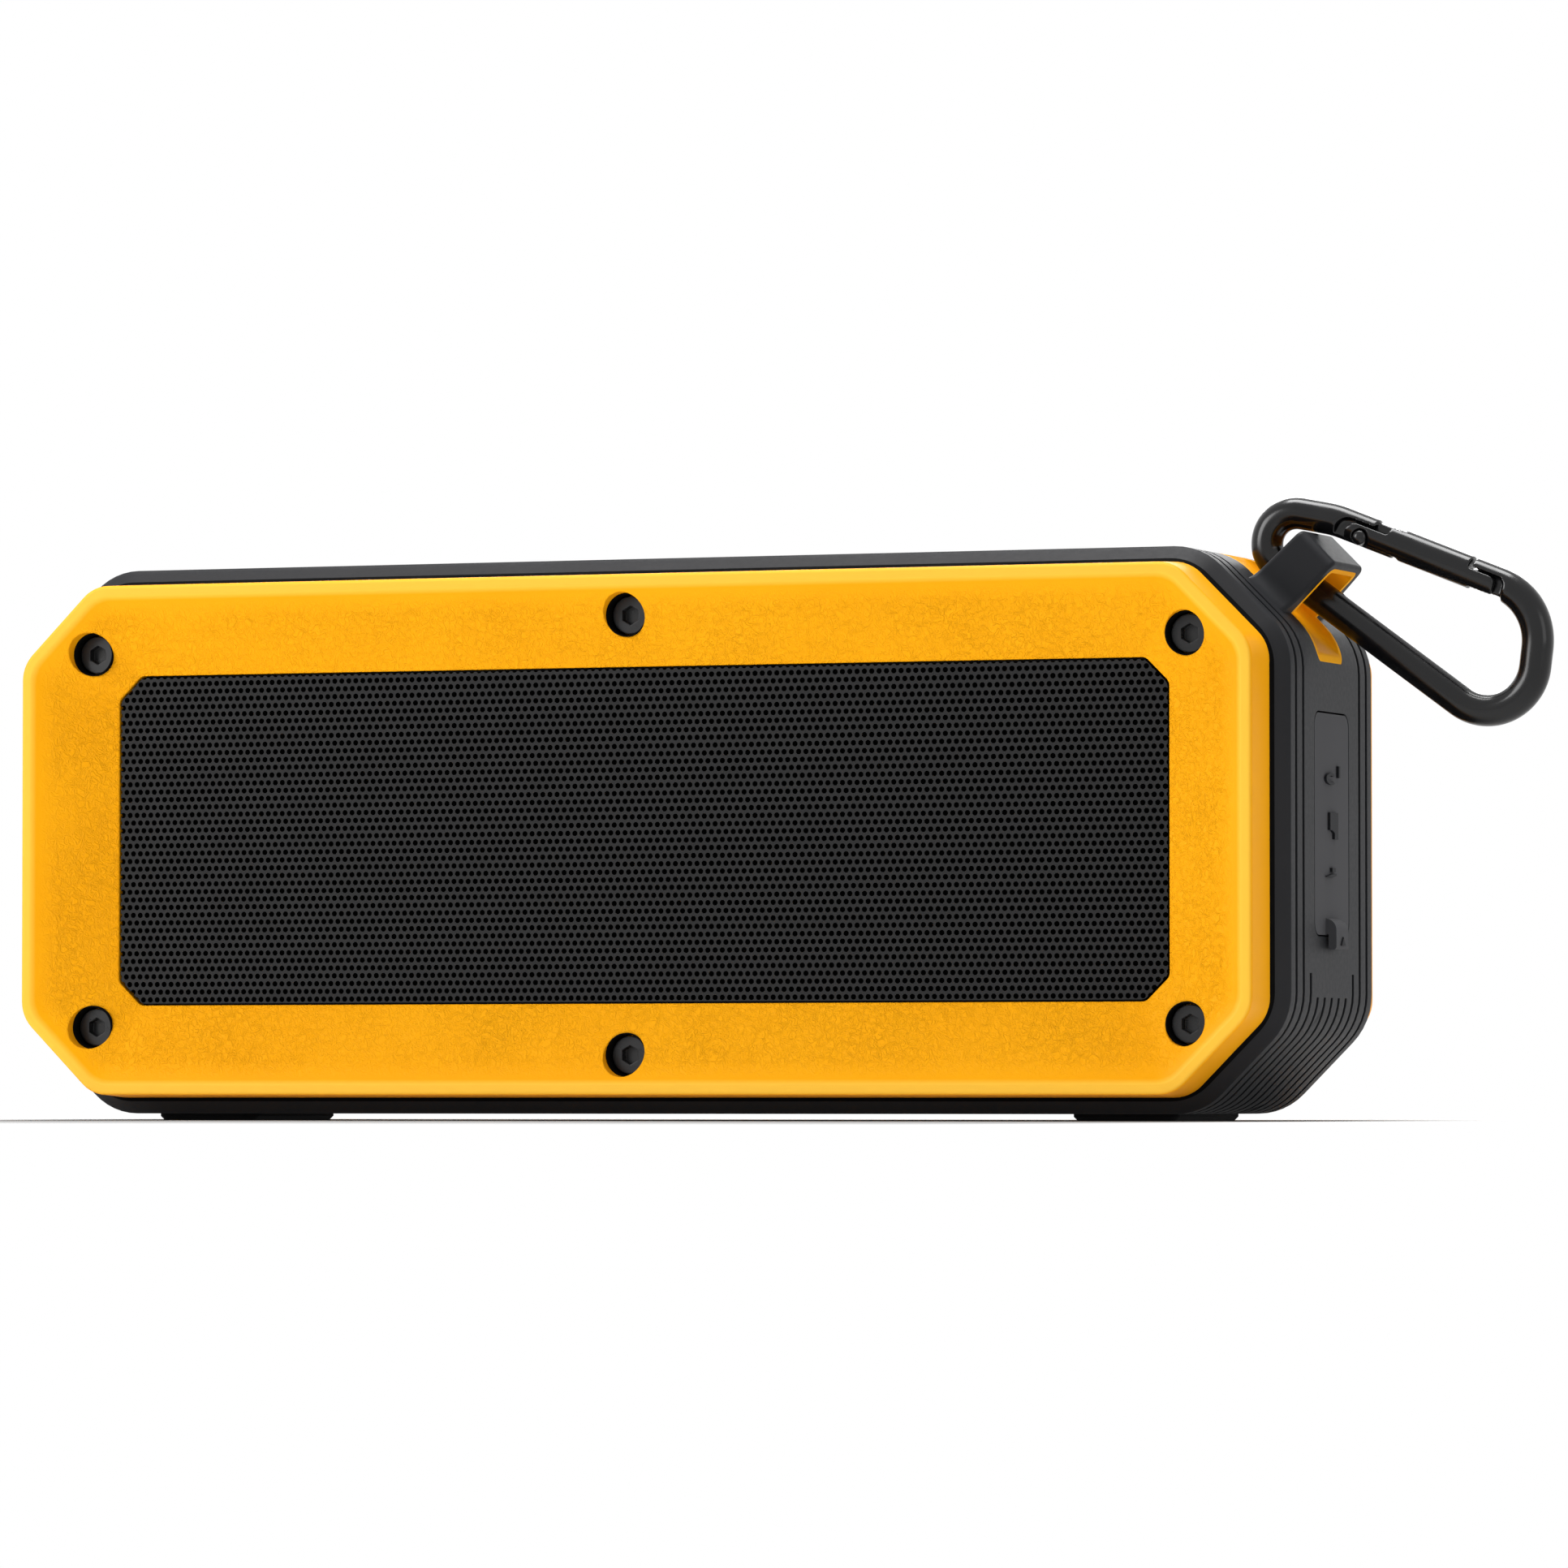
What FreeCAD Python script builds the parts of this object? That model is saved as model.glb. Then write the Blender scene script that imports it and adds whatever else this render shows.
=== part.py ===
# Rugged portable speaker with a lug, a carabiner, a port flap and flush top buttons.
# Millimetres. X runs along the speaker, the front faces -Y, Z is up, Z = 0 is the table,
# and the origin lies under the centre of the casing.

import FreeCAD, Part
import math
import os
import re
import Sketcher
from FreeCAD import Placement, Rotation, Vector

doc = FreeCAD.newDocument("PortableSpeaker")
sheet = doc.addObject("Spreadsheet::Sheet", "Sizes")

# Driving dimensions
SIZES = {
    # casing ring
    "casing_length": 200.0,
    "casing_height": 82.0,
    "casing_depth": 44.0,
    "casing_chamfer": 13.4,
    "casing_corner": 10.0,
    "casing_bevel": 2.4,
    "casing_wall": 5.0,
    "stand_height": 1.0,
    # grooves over the casing
    "groove_width": 1.0,
    "groove_depth": 0.8,
    "groove_pitch": 3.4,
    "outer_groove_top": 20.4,
    "inner_groove_top": 16.9,
    # lug on the upper right chamfer, with the tunnel under it
    "lug_length": 7.2,
    "lug_height": 9.95,
    "lug_top_width": 15.2,
    "lug_base_width": 18.4,
    "lug_blend": 3.0,
    "lug_round": 1.6,
    "lug_edge": 0.6,
    "strap_thickness": 1.0,
    "liner_width": 12.4,
    "liner_wall": 0.8,
    "liner_round": 1.4,
    "pocket_depth": 2.1,
    # bezels
    "bezel_inset": 2.4,
    "bezel_draft": 0.4,
    "bezel_height": 7.5,
    "bezel_rim": 1.45,
    "bezel_corner": 6.0,
    "bezel_edge": 0.6,
    "opening_length": 166.6,
    "opening_height": 49.6,
    "opening_chamfer": 3.6,
    "opening_corner": 1.5,
    "funnel_depth": 5.0,
    # grilles
    "grille_gap": 0.15,
    "grille_sheet": 1.0,
    "grille_flange": 2.2,
    "flange_sheet": 0.8,
    "grille_setback": 0.1,
    # M3 socket cap screws, their inserts and bosses
    "screw_span_x": 173.2,
    "screw_span_z": 56.1,
    "mid_screw_span": 64.7,
    "head_dia": 5.5,
    "head_height": 2.1,
    "socket_flats": 2.5,
    "socket_depth": 1.4,
    "shank_dia": 3.0,
    "screw_length": 12.0,
    "counterbore_dia": 6.5,
    "screw_hole_dia": 3.4,
    "seat_depth": 6.4,
    "insert_dia": 4.5,
    "insert_length": 6.0,
    "insert_play": 0.05,
    "boss_dia": 8.4,
    "boss_length": 10.0,
    "boss_web": 6.0,
    "boss_hole_depth": 8.0,
    # baffles and gaskets
    "gasket_thickness": 1.0,
    "gasket_width": 6.5,
    "baffle_thickness": 3.0,
    "edge_gap": 0.2,
    # drivers behind the front grille
    "driver_spacing": 90.0,
    "driver_dia": 47.0,
    "driver_hole_dia": 43.0,
    "driver_flange": 1.0,
    "basket_back_dia": 28.0,
    "basket_depth": 13.0,
    "basket_wall": 1.2,
    "magnet_dia": 30.0,
    "magnet_height": 8.0,
    "surround_dia": 37.0,
    "surround_roll": 1.1,
    "coil_gap": 0.3,
    "cone_dia": 35.0,
    "cone_depth": 6.0,
    "cone_wall": 0.5,
    "dust_cap_dia": 14.0,
    # passive radiator behind the rear grille
    "radiator_length": 100.0,
    "radiator_height": 44.0,
    "radiator_rim": 5.0,
    "radiator_frame_sheet": 0.8,
    "radiator_roll_width": 6.0,
    "radiator_sheet": 1.2,
    # battery cells and their tray
    "cell_dia": 18.2,
    "cell_length": 65.0,
    "cell_spacing": 28.4,
    "cell_bottom": 6.8,
    "tray_length": 46.0,
    "tray_height": 54.0,
    "tray_sheet": 1.6,
    "tray_gap": 0.1,
    "tray_post_dia": 5.0,
    "tray_post_span_x": 40.0,
    "tray_post_span_z": 49.0,
    # main board
    "board_length": 27.5,
    "board_height": 42.0,
    "board_middle": 43.25,
    "board_sheet": 1.6,
    "board_front": 3.0,
    "board_edge_gap": 1.2,
    "board_post_dia": 5.0,
    "board_post_inset": 3.6,
    "board_screw_dia": 2.0,
    "board_screw_head_dia": 3.8,
    "board_screw_head": 1.2,
    "board_screw_length": 6.0,
    "board_screw_play": 0.1,
    # ports behind the flap
    "port_plate_sheet": 1.2,
    "port_plate_margin": 1.0,
    "usb_height": 51.8,
    "usb_width": 7.6,
    "usb_thickness": 2.7,
    "usb_depth": 7.4,
    "usb_shell": 0.35,
    "aux_height": 32.3,
    "aux_body": 6.0,
    "aux_depth": 14.0,
    "aux_collar_dia": 5.0,
    "aux_collar_reach": 0.6,
    "aux_bore_dia": 3.6,
    "card_height": 41.6,
    "card_width": 11.4,
    "card_thickness": 1.9,
    "card_depth": 14.0,
    "card_slot": 1.0,
    "port_gap": 0.15,
    # rubber flap in the right side wall
    "flap_width": 16.4,
    "flap_height": 32.25,
    "flap_bottom": 27.0,
    "flap_thickness": 2.0,
    "flap_corner": 2.0,
    "flap_gap": 0.25,
    "flap_seat_gap": 0.2,
    "window_width": 12.4,
    "window_bottom": 29.0,
    "window_height": 27.0,
    "flap_pad": 1.5,
    "flap_pad_gap": 0.5,
    "tab_width": 5.8,
    "tab_top": 29.5,
    "tab_round": 1.7,
    "tab_bottom": 24.9,
    "tab_reach": 1.6,
    "tab_sheet": 1.2,
    "anchor_width": 11.0,
    "anchor_height": 1.2,
    "anchor_drop": 1.9,
    "anchor_head": 1.2,
    # feet
    "foot_outer": 81.2,
    "foot_width": 16.2,
    "foot_length": 31.0,
    "foot_recess": 1.0,
    "foot_edge": 0.6,
    "foot_corner": 2.0,
    # buttons in the top wall, and the board under them
    "button_dia": 9.0,
    "button_gap": 0.15,
    "button_pitch": 16.0,
    "button_flange": 1.1,
    "button_flange_sheet": 1.1,
    "button_rest_gap": 0.1,
    "button_stem_dia": 3.0,
    "button_stem": 1.1,
    "button_travel": 0.8,
    "switch_size": 5.0,
    "switch_height": 1.5,
    "switch_gap": 0.1,
    "keypad_sheet": 1.0,
    "keypad_length": 90.0,
    "keypad_width": 12.0,
    "keypad_post_dia": 4.0,
    "keypad_post_span": 84.0,
    # carabiner, in its own frame: x along the gate, z outwards, origin on the gate's line at the hook
    "rod_dia": 4.7,
    "gate_side": 44.1,
    "bow_side": 46.45,
    "bow_drop": 8.95,
    "spine_start": 2.65,
    "hook_depth": 8.7,
    "spine_end": 49.7,
    "bow_depth": 21.1,
    "crown_place": 10.5,
    "crown_drop": 2.0,
    "hook_top_bend": 4.4,
    "hook_low_bend": 3.2,
    "bow_low_bend": 7.1,
    "bow_side_bend": 13.0,
    "bow_top_bend": 8.9,
    "crown_bend": 14.0,
    "carabiner_tilt": 21.7,
    "hook_beyond_lug": 8.76,
    "hook_below_lug": 0.82,
    # gate and rivet, along the gate's side
    "tongue_end": 17.1,
    "tongue_under": 1.1,
    "web_thickness": 1.8,
    "web_start": 11.3,
    "web_end": 20.6,
    "web_top": 1.9,
    "gate_start": 12.85,
    "gate_full": 19.25,
    "gate_cheek_top": 0.7,
    "gate_cheek_round": 1.65,
    "gate_slot_end": 21.4,
    "gate_slot_play": 0.15,
    "nose_start": 32.75,
    "nose_under": 0.95,
    "nose_body": 38.3,
    "nose_round": 1.2,
    "nose_web_start": 33.6,
    "nose_web_low": -1.8,
    "gate_end": 36.9,
    "gate_step": 32.35,
    "gate_step_top": 0.6,
    "gate_step_round": 1.1,
    "latch_slot_start": 33.0,
    "rivet_place": 15.4,
    "rivet_depth": 1.05,
    "rivet_dia": 2.3,
    "rivet_length": 5.3,
    "rivet_play": 0.05,
}

for row, (alias, size) in enumerate(SIZES.items(), start=1):
    sheet.set(f"A{row}", alias)
    sheet.set(f"B{row}", str(size))
    sheet.setAlias(f"B{row}", alias)
doc.recompute()

ALIAS = re.compile(r"[a-z][a-z0-9_]*")


def bound(text):
    """An expression over the sheet, from one written with the aliases alone."""
    return ALIAS.sub(lambda m: "Sizes." + m.group() if m.group() in SIZES else m.group(), text)


def value(text):
    """What an expression over the aliases comes to now."""
    return float(sheet.evalExpression(bound(text)))


def bind(item, prop, text):
    item.setExpression(prop, bound(text))


def place(item, x="0", y="0", z="0", rotation=Rotation()):
    """Give an object its place from expressions, and its rotation as it stands."""
    item.Placement = Placement(Vector(value(x), value(y), value(z)), rotation)
    bind(item, ".Placement.Base.x", x)
    bind(item, ".Placement.Base.y", y)
    bind(item, ".Placement.Base.z", z)
    return item


# Common expressions
HALF_X = "casing_length / 2"
HALF_Y = "casing_depth / 2"
CASING_LOW = "stand_height"
CASING_TOP = "(stand_height + casing_height)"
MIDDLE_Z = "(stand_height + casing_height / 2)"
FRONT_Y = "(casing_depth / 2)"
RING_Y = "(casing_depth / 2 + bezel_height)"
GRILLE_Y = "(casing_depth / 2 + bezel_height - funnel_depth)"
SEAT_Y = "(casing_depth / 2 + bezel_height - seat_depth)"
BAFFLE_Y = "(casing_depth / 2 - gasket_thickness)"
BOSS_Y = "(casing_depth / 2 - gasket_thickness - baffle_thickness)"
LUG_X = "casing_length / 2 - casing_chamfer / 2"
LUG_Z = "stand_height + casing_height - casing_chamfer / 2"
ALONG_Y = Rotation(Vector(1, 0, 0), -90)
ALONG_X = Rotation(Vector(0, 1, 0), 90)
LUG_TURN = Rotation(Vector(0, 1, 0), 45)
HALF_TURN = Rotation(Vector(0, 0, 1), 180)

nodes = []


def node(name, item):
    """Name a finished sub-part."""
    item.Label = name
    nodes.append(item)
    return item


# Building blocks

def body(label):
    return doc.addObject("PartDesign::Body", label)


def plane(owner, role):
    return next(item for item in owner.Origin.OriginFeatures if item.Role == role)


def sketch_on(owner, label, role, offset):
    sketch = owner.newObject("Sketcher::SketchObject", label)
    sketch.AttachmentSupport = [(plane(owner, role), "")]
    sketch.MapMode = "FlatFace"
    sketch.AttachmentOffset = Placement(Vector(0, 0, value(offset)), Rotation())
    bind(sketch, ".AttachmentOffset.Base.z", offset)
    return sketch


def pin_point(sketch, index, end, x, y):
    """Hold a sketch point at the place that two expressions give."""
    for kind, text in (("DistanceX", x), ("DistanceY", y)):
        number = sketch.addConstraint(Sketcher.Constraint(kind, index, end, value(text)))
        bind(sketch, f"Constraints[{number}]", text)


def outline(owner, label, role, offset, corners, closed=True):
    """Draw straight sides through the corners, each (x, y) or (x, y, radius) rounded by an arc."""
    sketch = sketch_on(owner, label, role, offset)
    points = [Vector(value(c[0]), value(c[1]), 0) for c in corners]
    count = len(points)
    starts = list(points)
    ends = list(points)
    arcs = {}
    rounded = range(count) if closed else range(1, count - 1)
    for i in rounded:
        if len(corners[i]) < 3:
            continue
        radius = value(corners[i][2])
        back = (points[i - 1] - points[i]).normalize()
        ahead = (points[(i + 1) % count] - points[i]).normalize()
        half = back.getAngle(ahead) / 2
        reach = radius / math.tan(half)
        starts[i] = points[i] + back * reach
        ends[i] = points[i] + ahead * reach
        middle = points[i] + (back + ahead).normalize() * (radius / math.sin(half))
        nearest = points[i] - middle
        nearest = middle + nearest.normalize() * radius
        arcs[i] = Part.Arc(starts[i], nearest, ends[i])
    sides = count if closed else count - 1
    lines = [sketch.addGeometry(Part.LineSegment(ends[i], starts[(i + 1) % count])) for i in range(sides)]
    for i in range(count):
        before = lines[i - 1] if (closed or i > 0) else None
        after = lines[i] if i < sides else None
        if i in arcs:
            arc = sketch.addGeometry(arcs[i])
            # an arc's first point is the one where it starts anticlockwise
            first = 1 if (sketch.getPoint(arc, 1) - starts[i]).Length < 1e-6 else 2
            sketch.addConstraint(Sketcher.Constraint("Tangent", before, 2, arc, first))
            sketch.addConstraint(Sketcher.Constraint("Tangent", arc, 3 - first, after, 1))
            number = sketch.addConstraint(Sketcher.Constraint("Radius", arc, value(corners[i][2])))
            bind(sketch, f"Constraints[{number}]", corners[i][2])
            mark = sketch.addGeometry(Part.Point(points[i]), True)
            pin_point(sketch, mark, 1, corners[i][0], corners[i][1])
            sketch.addConstraint(Sketcher.Constraint("PointOnObject", mark, 1, before))
            sketch.addConstraint(Sketcher.Constraint("PointOnObject", mark, 1, after))
        elif before is not None and after is not None:
            sketch.addConstraint(Sketcher.Constraint("Coincident", before, 2, after, 1))
            pin_point(sketch, after, 1, corners[i][0], corners[i][1])
        elif after is not None:
            pin_point(sketch, after, 1, corners[i][0], corners[i][1])
        else:
            pin_point(sketch, before, 2, corners[i][0], corners[i][1])
    return sketch


def circles(owner, label, role, offset, centres, radius):
    """Draw equal circles about places given as pairs of expressions."""
    sketch = sketch_on(owner, label, role, offset)
    for x, y in centres:
        circle = Part.Circle(Vector(value(x), value(y), 0), Vector(0, 0, 1), value(radius))
        index = sketch.addGeometry(circle)
        pin_point(sketch, index, 3, x, y)
        number = sketch.addConstraint(Sketcher.Constraint("Radius", index, value(radius)))
        bind(sketch, f"Constraints[{number}]", radius)
    return sketch


def pad(owner, label, sketch, length):
    """Raise a sketch along its plane's normal."""
    feature = owner.newObject("PartDesign::Pad", label)
    feature.Profile = sketch
    feature.Length = value(length)
    bind(feature, "Length", length)
    doc.recompute()
    return feature


def pocket(owner, label, sketch, length):
    """Cut a sketch against its plane's normal, and make sure that it bites."""
    before = owner.Shape.Volume
    feature = owner.newObject("PartDesign::Pocket", label)
    feature.Profile = sketch
    feature.Length = value(length)
    bind(feature, "Length", length)
    doc.recompute()
    if not owner.Shape.Volume < before - 1e-3:
        raise RuntimeError(f"{label} cuts nothing")
    return feature


def edges_where(shape, test):
    return [f"Edge{i}" for i, edge in enumerate(shape.Edges, start=1) if test(edge)]


def soften(owner, kind, label, base, edges, size):
    """Fillet or chamfer named edges of a body's last feature."""
    if not edges:
        raise RuntimeError(f"{label} found no edges")
    feature = owner.newObject("PartDesign::" + kind, label)
    feature.Base = (base, edges)
    prop = "Radius" if kind == "Fillet" else "Size"
    setattr(feature, prop, value(size))
    bind(feature, prop, size)
    doc.recompute()
    return feature


def block(label, low, size, rotation=Rotation(), base=None):
    """A box from its low corner and its sizes."""
    item = doc.addObject("Part::Box", label)
    for prop, text in zip(("Length", "Width", "Height"), size):
        setattr(item, prop, value(text))
        bind(item, prop, text)
    return place(item, *low, rotation=rotation)


def rod(label, start, radius, length, rotation=Rotation()):
    """A cylinder from the centre of its first end, along Z, or along a rotated Z."""
    item = doc.addObject("Part::Cylinder", label)
    item.Radius = value(radius)
    item.Height = value(length)
    bind(item, "Radius", radius)
    bind(item, "Height", length)
    return place(item, *start, rotation=rotation)


def taper(label, start, radius_a, radius_b, length, rotation=Rotation()):
    """A cone's frustum from the centre of its first end."""
    item = doc.addObject("Part::Cone", label)
    for prop, text in (("Radius1", radius_a), ("Radius2", radius_b), ("Height", length)):
        setattr(item, prop, value(text))
        bind(item, prop, text)
    return place(item, *start, rotation=rotation)


def joined(label, *items):
    item = doc.addObject("Part::MultiFuse", label)
    item.Shapes = list(items)
    item.Refine = True
    return item


def cut(label, base, *tools):
    item = doc.addObject("Part::Cut", label)
    item.Base = base
    item.Tool = tools[0] if len(tools) == 1 else group(label + "_tools", *tools)
    item.Refine = True
    return item


def common(label, base, tool):
    item = doc.addObject("Part::Common", label)
    item.Base = base
    item.Tool = tool
    return item


def group(label, *items):
    """Separate solids kept together as one sub-part, or as one cutting tool."""
    item = doc.addObject("Part::Compound", label)
    item.Links = list(items)
    return item


def octagon(half_x, low, top, leg, radius=None):
    """Corners of an upright octagon about X = 0, from its lower right side round."""
    corners = [
        (half_x, f"{low} + ({leg})"),
        (half_x, f"{top} - ({leg})"),
        (f"{half_x} - ({leg})", top),
        (f"-({half_x}) + ({leg})", top),
        (f"-({half_x})", f"{top} - ({leg})"),
        (f"-({half_x})", f"{low} + ({leg})"),
        (f"-({half_x}) + ({leg})", low),
        (f"{half_x} - ({leg})", low),
    ]
    return [corner + ((radius,) if radius else ()) for corner in corners]


def inset_octagon(inset, radius=None):
    """The casing's octagon drawn in evenly by an inset."""
    leg = f"casing_chamfer - (2 - sqrt(2)) * ({inset})"
    return octagon(
        f"(casing_length / 2 - ({inset}))",
        f"(stand_height + ({inset}))",
        f"(stand_height + casing_height - ({inset}))",
        leg,
        radius,
    )


def opening_octagon(growth, radius):
    """The grille opening's octagon, grown evenly."""
    return octagon(
        f"(opening_length / 2 + ({growth}))",
        f"({MIDDLE_Z} - opening_height / 2 - ({growth}))",
        f"({MIDDLE_Z} + opening_height / 2 + ({growth}))",
        f"opening_chamfer + (2 - sqrt(2)) * ({growth})",
        radius,
    )


def rectangle(x_low, x_high, y_low, y_high, radius=None):
    corners = [(x_low, y_low), (x_high, y_low), (x_high, y_high), (x_low, y_high)]
    return [corner + ((radius,) if radius else ()) for corner in corners]


# The six screw places, as X and Z, with the way from each to the nearest outer wall in degrees
SCREW_PLACES = [
    ("screw_span_x / 2", f"({MIDDLE_Z} + screw_span_z / 2)", 45),
    ("-screw_span_x / 2", f"({MIDDLE_Z} + screw_span_z / 2)", -45),
    ("-screw_span_x / 2", f"({MIDDLE_Z} - screw_span_z / 2)", -135),
    ("screw_span_x / 2", f"({MIDDLE_Z} - screw_span_z / 2)", 135),
    ("0", f"({MIDDLE_Z} + mid_screw_span / 2)", 0),
    ("0", f"({MIDDLE_Z} - mid_screw_span / 2)", 180),
]
SCREW_CENTRES = [(x, z) for x, z, way in SCREW_PLACES]


# Casing ring

def octagon_prism(label, inset, half_depth, radius):
    """A prism of the casing's outline, drawn in evenly, along the whole depth."""
    item = body(label)
    drawn = outline(item, label + "_outline", "XZ_Plane", f"-({half_depth})", inset_octagon(inset, radius))
    pad(item, label + "_pad", drawn, f"2 * ({half_depth})")
    return item


def casing_blank():
    """The outer form, with its bevelled front and rear edges."""
    item = octagon_prism("casing_blank", "0", HALF_Y, "casing_corner")
    half_depth = value(HALF_Y)

    def on_rim(edge):
        return all(abs(abs(v.Y) - half_depth) < 1e-4 for v in edge.Vertexes)

    edges = edges_where(item.Shape, on_rim)
    soften(item, "Chamfer", "casing_bevels", item.Tip, edges, "casing_bevel")
    return item


def lug_block():
    """The bridge over the chamfer, drawn across it and raised along it."""
    item = body("lug_block")
    skirt = "lug_base_width / 2 + lug_blend"
    corners = [
        (f"-({skirt})", "-casing_wall / 2"),
        (skirt, "-casing_wall / 2"),
        (skirt, "0"),
        ("lug_base_width / 2", "0", "lug_blend"),
        ("lug_top_width / 2", "lug_height", "lug_round"),
        ("-lug_top_width / 2", "lug_height", "lug_round"),
        ("-lug_base_width / 2", "0", "lug_blend"),
        (f"-({skirt})", "0"),
    ]
    drawn = outline(item, "lug_profile", "YZ_Plane", "-lug_length / 2", corners)
    pad(item, "lug_pad", drawn, "lug_length")
    half = value("lug_length / 2")
    blend_top = value("lug_blend")

    def on_end_above_blend(edge):
        ends = edge.Vertexes
        return all(abs(abs(v.X) - half) < 1e-4 and v.Z > blend_top * 0.8 for v in ends)

    edges = edges_where(item.Shape, on_end_above_blend)
    soften(item, "Fillet", "lug_edges", item.Tip, edges, "lug_edge")
    return place(item, LUG_X, "0", LUG_Z, LUG_TURN)


def tunnel_block(label, inset, reach):
    """The straight run under the lug, from the top face to the side face."""
    item = body(label)
    corners = rectangle(
        f"-(liner_width / 2 - ({inset}))",
        f"liner_width / 2 - ({inset})",
        f"-(pocket_depth - ({inset}))",
        f"lug_height - strap_thickness - ({inset})",
        f"liner_round - ({inset}) / 2",
    )
    drawn = outline(item, label + "_section", "YZ_Plane", f"-({reach})", corners)
    pad(item, label + "_run", drawn, f"2 * ({reach})")
    return place(item, LUG_X, "0", LUG_Z, LUG_TURN)


def slab(label, low_x, low_z, size_x, size_z, line):
    """A thin upright slab, one groove wide, about a groove line counted from the middle."""
    low = (low_x, f"{line} * groove_pitch - groove_width / 2", low_z)
    return block(label, low, (size_x, "groove_width", size_z))


def groove_tools(core):
    """What the grooves take away outside their core."""
    slabs = []
    for line in (-5, -4, 4, 5):
        name = f"ring_slab_{line + 6}"
        over = "(casing_length + 20)"
        slabs.append(slab(name, f"-{over} / 2", "-10", over, "casing_height + 30", line))
    for line in range(-3, 4):
        top = "outer_groove_top" if abs(line) == 3 else "inner_groove_top"
        for side in (-1, 1):
            low_x = f"casing_length / 2 - {top}" if side == 1 else "-casing_length / 2 - 10"
            name = f"corner_slab_{line + 4}_{'left' if side < 0 else 'right'}"
            slabs.append(slab(name, low_x, "-10", f"{top} + 10", f"{top} + 10 + stand_height", line))
    return cut("groove_rings", group("groove_slabs", *slabs), core)


def bosses():
    """Screw bosses inside the ring, each on a web to the nearest wall."""
    items = []
    for side, sign in (("front", -1), ("rear", 1)):
        for number, (x, z, way) in enumerate(SCREW_PLACES, start=1):
            start = f"-{BOSS_Y}" if sign < 0 else f"{BOSS_Y} - boss_length"
            reach = "casing_wall + 2.5" if way in (0, 180) else "casing_wall + 3.5"
            items.append(rod(f"{side}_boss_{number}", (x, start, z), "boss_dia / 2", "boss_length", ALONG_Y))
            turn = Rotation(Vector(0, 1, 0), way)
            corner = turn.multVec(Vector(-0.5, 0, 0))
            low_x = f"{x} + {corner.x:.6f} * boss_web"
            low_z = f"{z} + {corner.z:.6f} * boss_web"
            size = ("boss_web", "boss_length", reach)
            items.append(block(f"{side}_web_{number}", (low_x, start, low_z), size, turn))
    return items


def boss_holes():
    items = []
    for side, sign in (("front", -1), ("rear", 1)):
        for number, (x, z) in enumerate(SCREW_CENTRES, start=1):
            start = f"-{BOSS_Y}" if sign < 0 else f"{BOSS_Y} - boss_hole_depth"
            hole = rod(f"{side}_boss_hole_{number}", (x, start, z), "insert_dia / 2", "boss_hole_depth", ALONG_Y)
            items.append(hole)
    return items


def flap_recess():
    """The seat of the flap in the right side wall, the window behind it and the anchor's slot."""
    item = body("flap_recess")
    grown = rectangle(
        "-flap_width / 2 - flap_gap",
        "flap_width / 2 + flap_gap",
        "flap_bottom - flap_gap",
        "flap_bottom + flap_height + flap_gap",
        "flap_corner + flap_gap",
    )
    floor = "casing_length / 2 - flap_thickness - flap_seat_gap"
    drawn = outline(item, "recess_outline", "YZ_Plane", floor, grown)
    pad(item, "recess_pad", drawn, "flap_thickness + flap_seat_gap + 5")
    return item


def window_cutter():
    return block(
        "window_cutter",
        ("casing_length / 2 - casing_wall - 1", "-window_width / 2", "window_bottom"),
        ("casing_wall", "window_width", "window_height"),
    )


def anchor_cutter():
    return block(
        "anchor_cutter",
        ("casing_length / 2 - casing_wall - 1", "-anchor_width / 2", ANCHOR_Z),
        ("casing_wall", "anchor_width", "anchor_height"),
    )


ANCHOR_Z = "flap_bottom + flap_height - anchor_drop"


def foot_recess(side, sign):
    low_x = "foot_outer - foot_width" if sign > 0 else "-foot_outer"
    low = (f"{low_x} - edge_gap / 2", "-foot_length / 2 - edge_gap / 2", "0")
    size = ("foot_width + edge_gap", "foot_length + edge_gap", "stand_height + foot_recess")
    return block(f"{side}_foot_recess", low, size)


BUTTONS = ["power", "volume_down", "play", "volume_up", "pairing"]


def button_x(number):
    return f"{number - 2} * button_pitch"


def button_holes():
    """Round holes through the top wall."""
    items = []
    for number, name in enumerate(BUTTONS):
        start = (button_x(number), "0", f"{CASING_TOP} - casing_wall - 1")
        items.append(rod(f"{name}_hole", start, "button_dia / 2 + button_gap", "casing_wall + 2"))
    return items


KEYPAD_TOP = (
    f"({CASING_TOP} - casing_wall - button_rest_gap - button_flange_sheet - button_stem"
    " - button_travel - switch_gap - switch_height)"
)


def keypad_posts():
    """Posts under the top wall that carry the keypad board."""
    items = []
    for side, sign in (("left", "-"), ("right", "")):
        start = (f"{sign}keypad_post_span / 2", "0", KEYPAD_TOP)
        length = f"{CASING_TOP} - casing_wall / 2 - {KEYPAD_TOP}"
        items.append(rod(f"{side}_keypad_post", start, "keypad_post_dia / 2", length))
    return items


def casing(envelope, tunnel):
    cavity = octagon_prism("casing_cavity", "casing_wall", f"{HALF_Y} + 1", "casing_corner - casing_wall")
    core = octagon_prism("groove_core", "groove_depth", f"{HALF_Y} + 1", "casing_corner - groove_depth")
    ring = cut("casing_ring", envelope, cavity)
    solid = joined("casing_solid", ring, *bosses(), *keypad_posts())
    grooved = cut("casing_grooved", solid, groove_tools(core))
    seats = [flap_recess(), foot_recess("left", -1), foot_recess("right", 1)]
    bored = cut("casing_bored", grooved, *seats, *boss_holes(), *button_holes())
    return node("casing", cut("casing", bored, tunnel, window_cutter(), anchor_cutter()))


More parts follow.
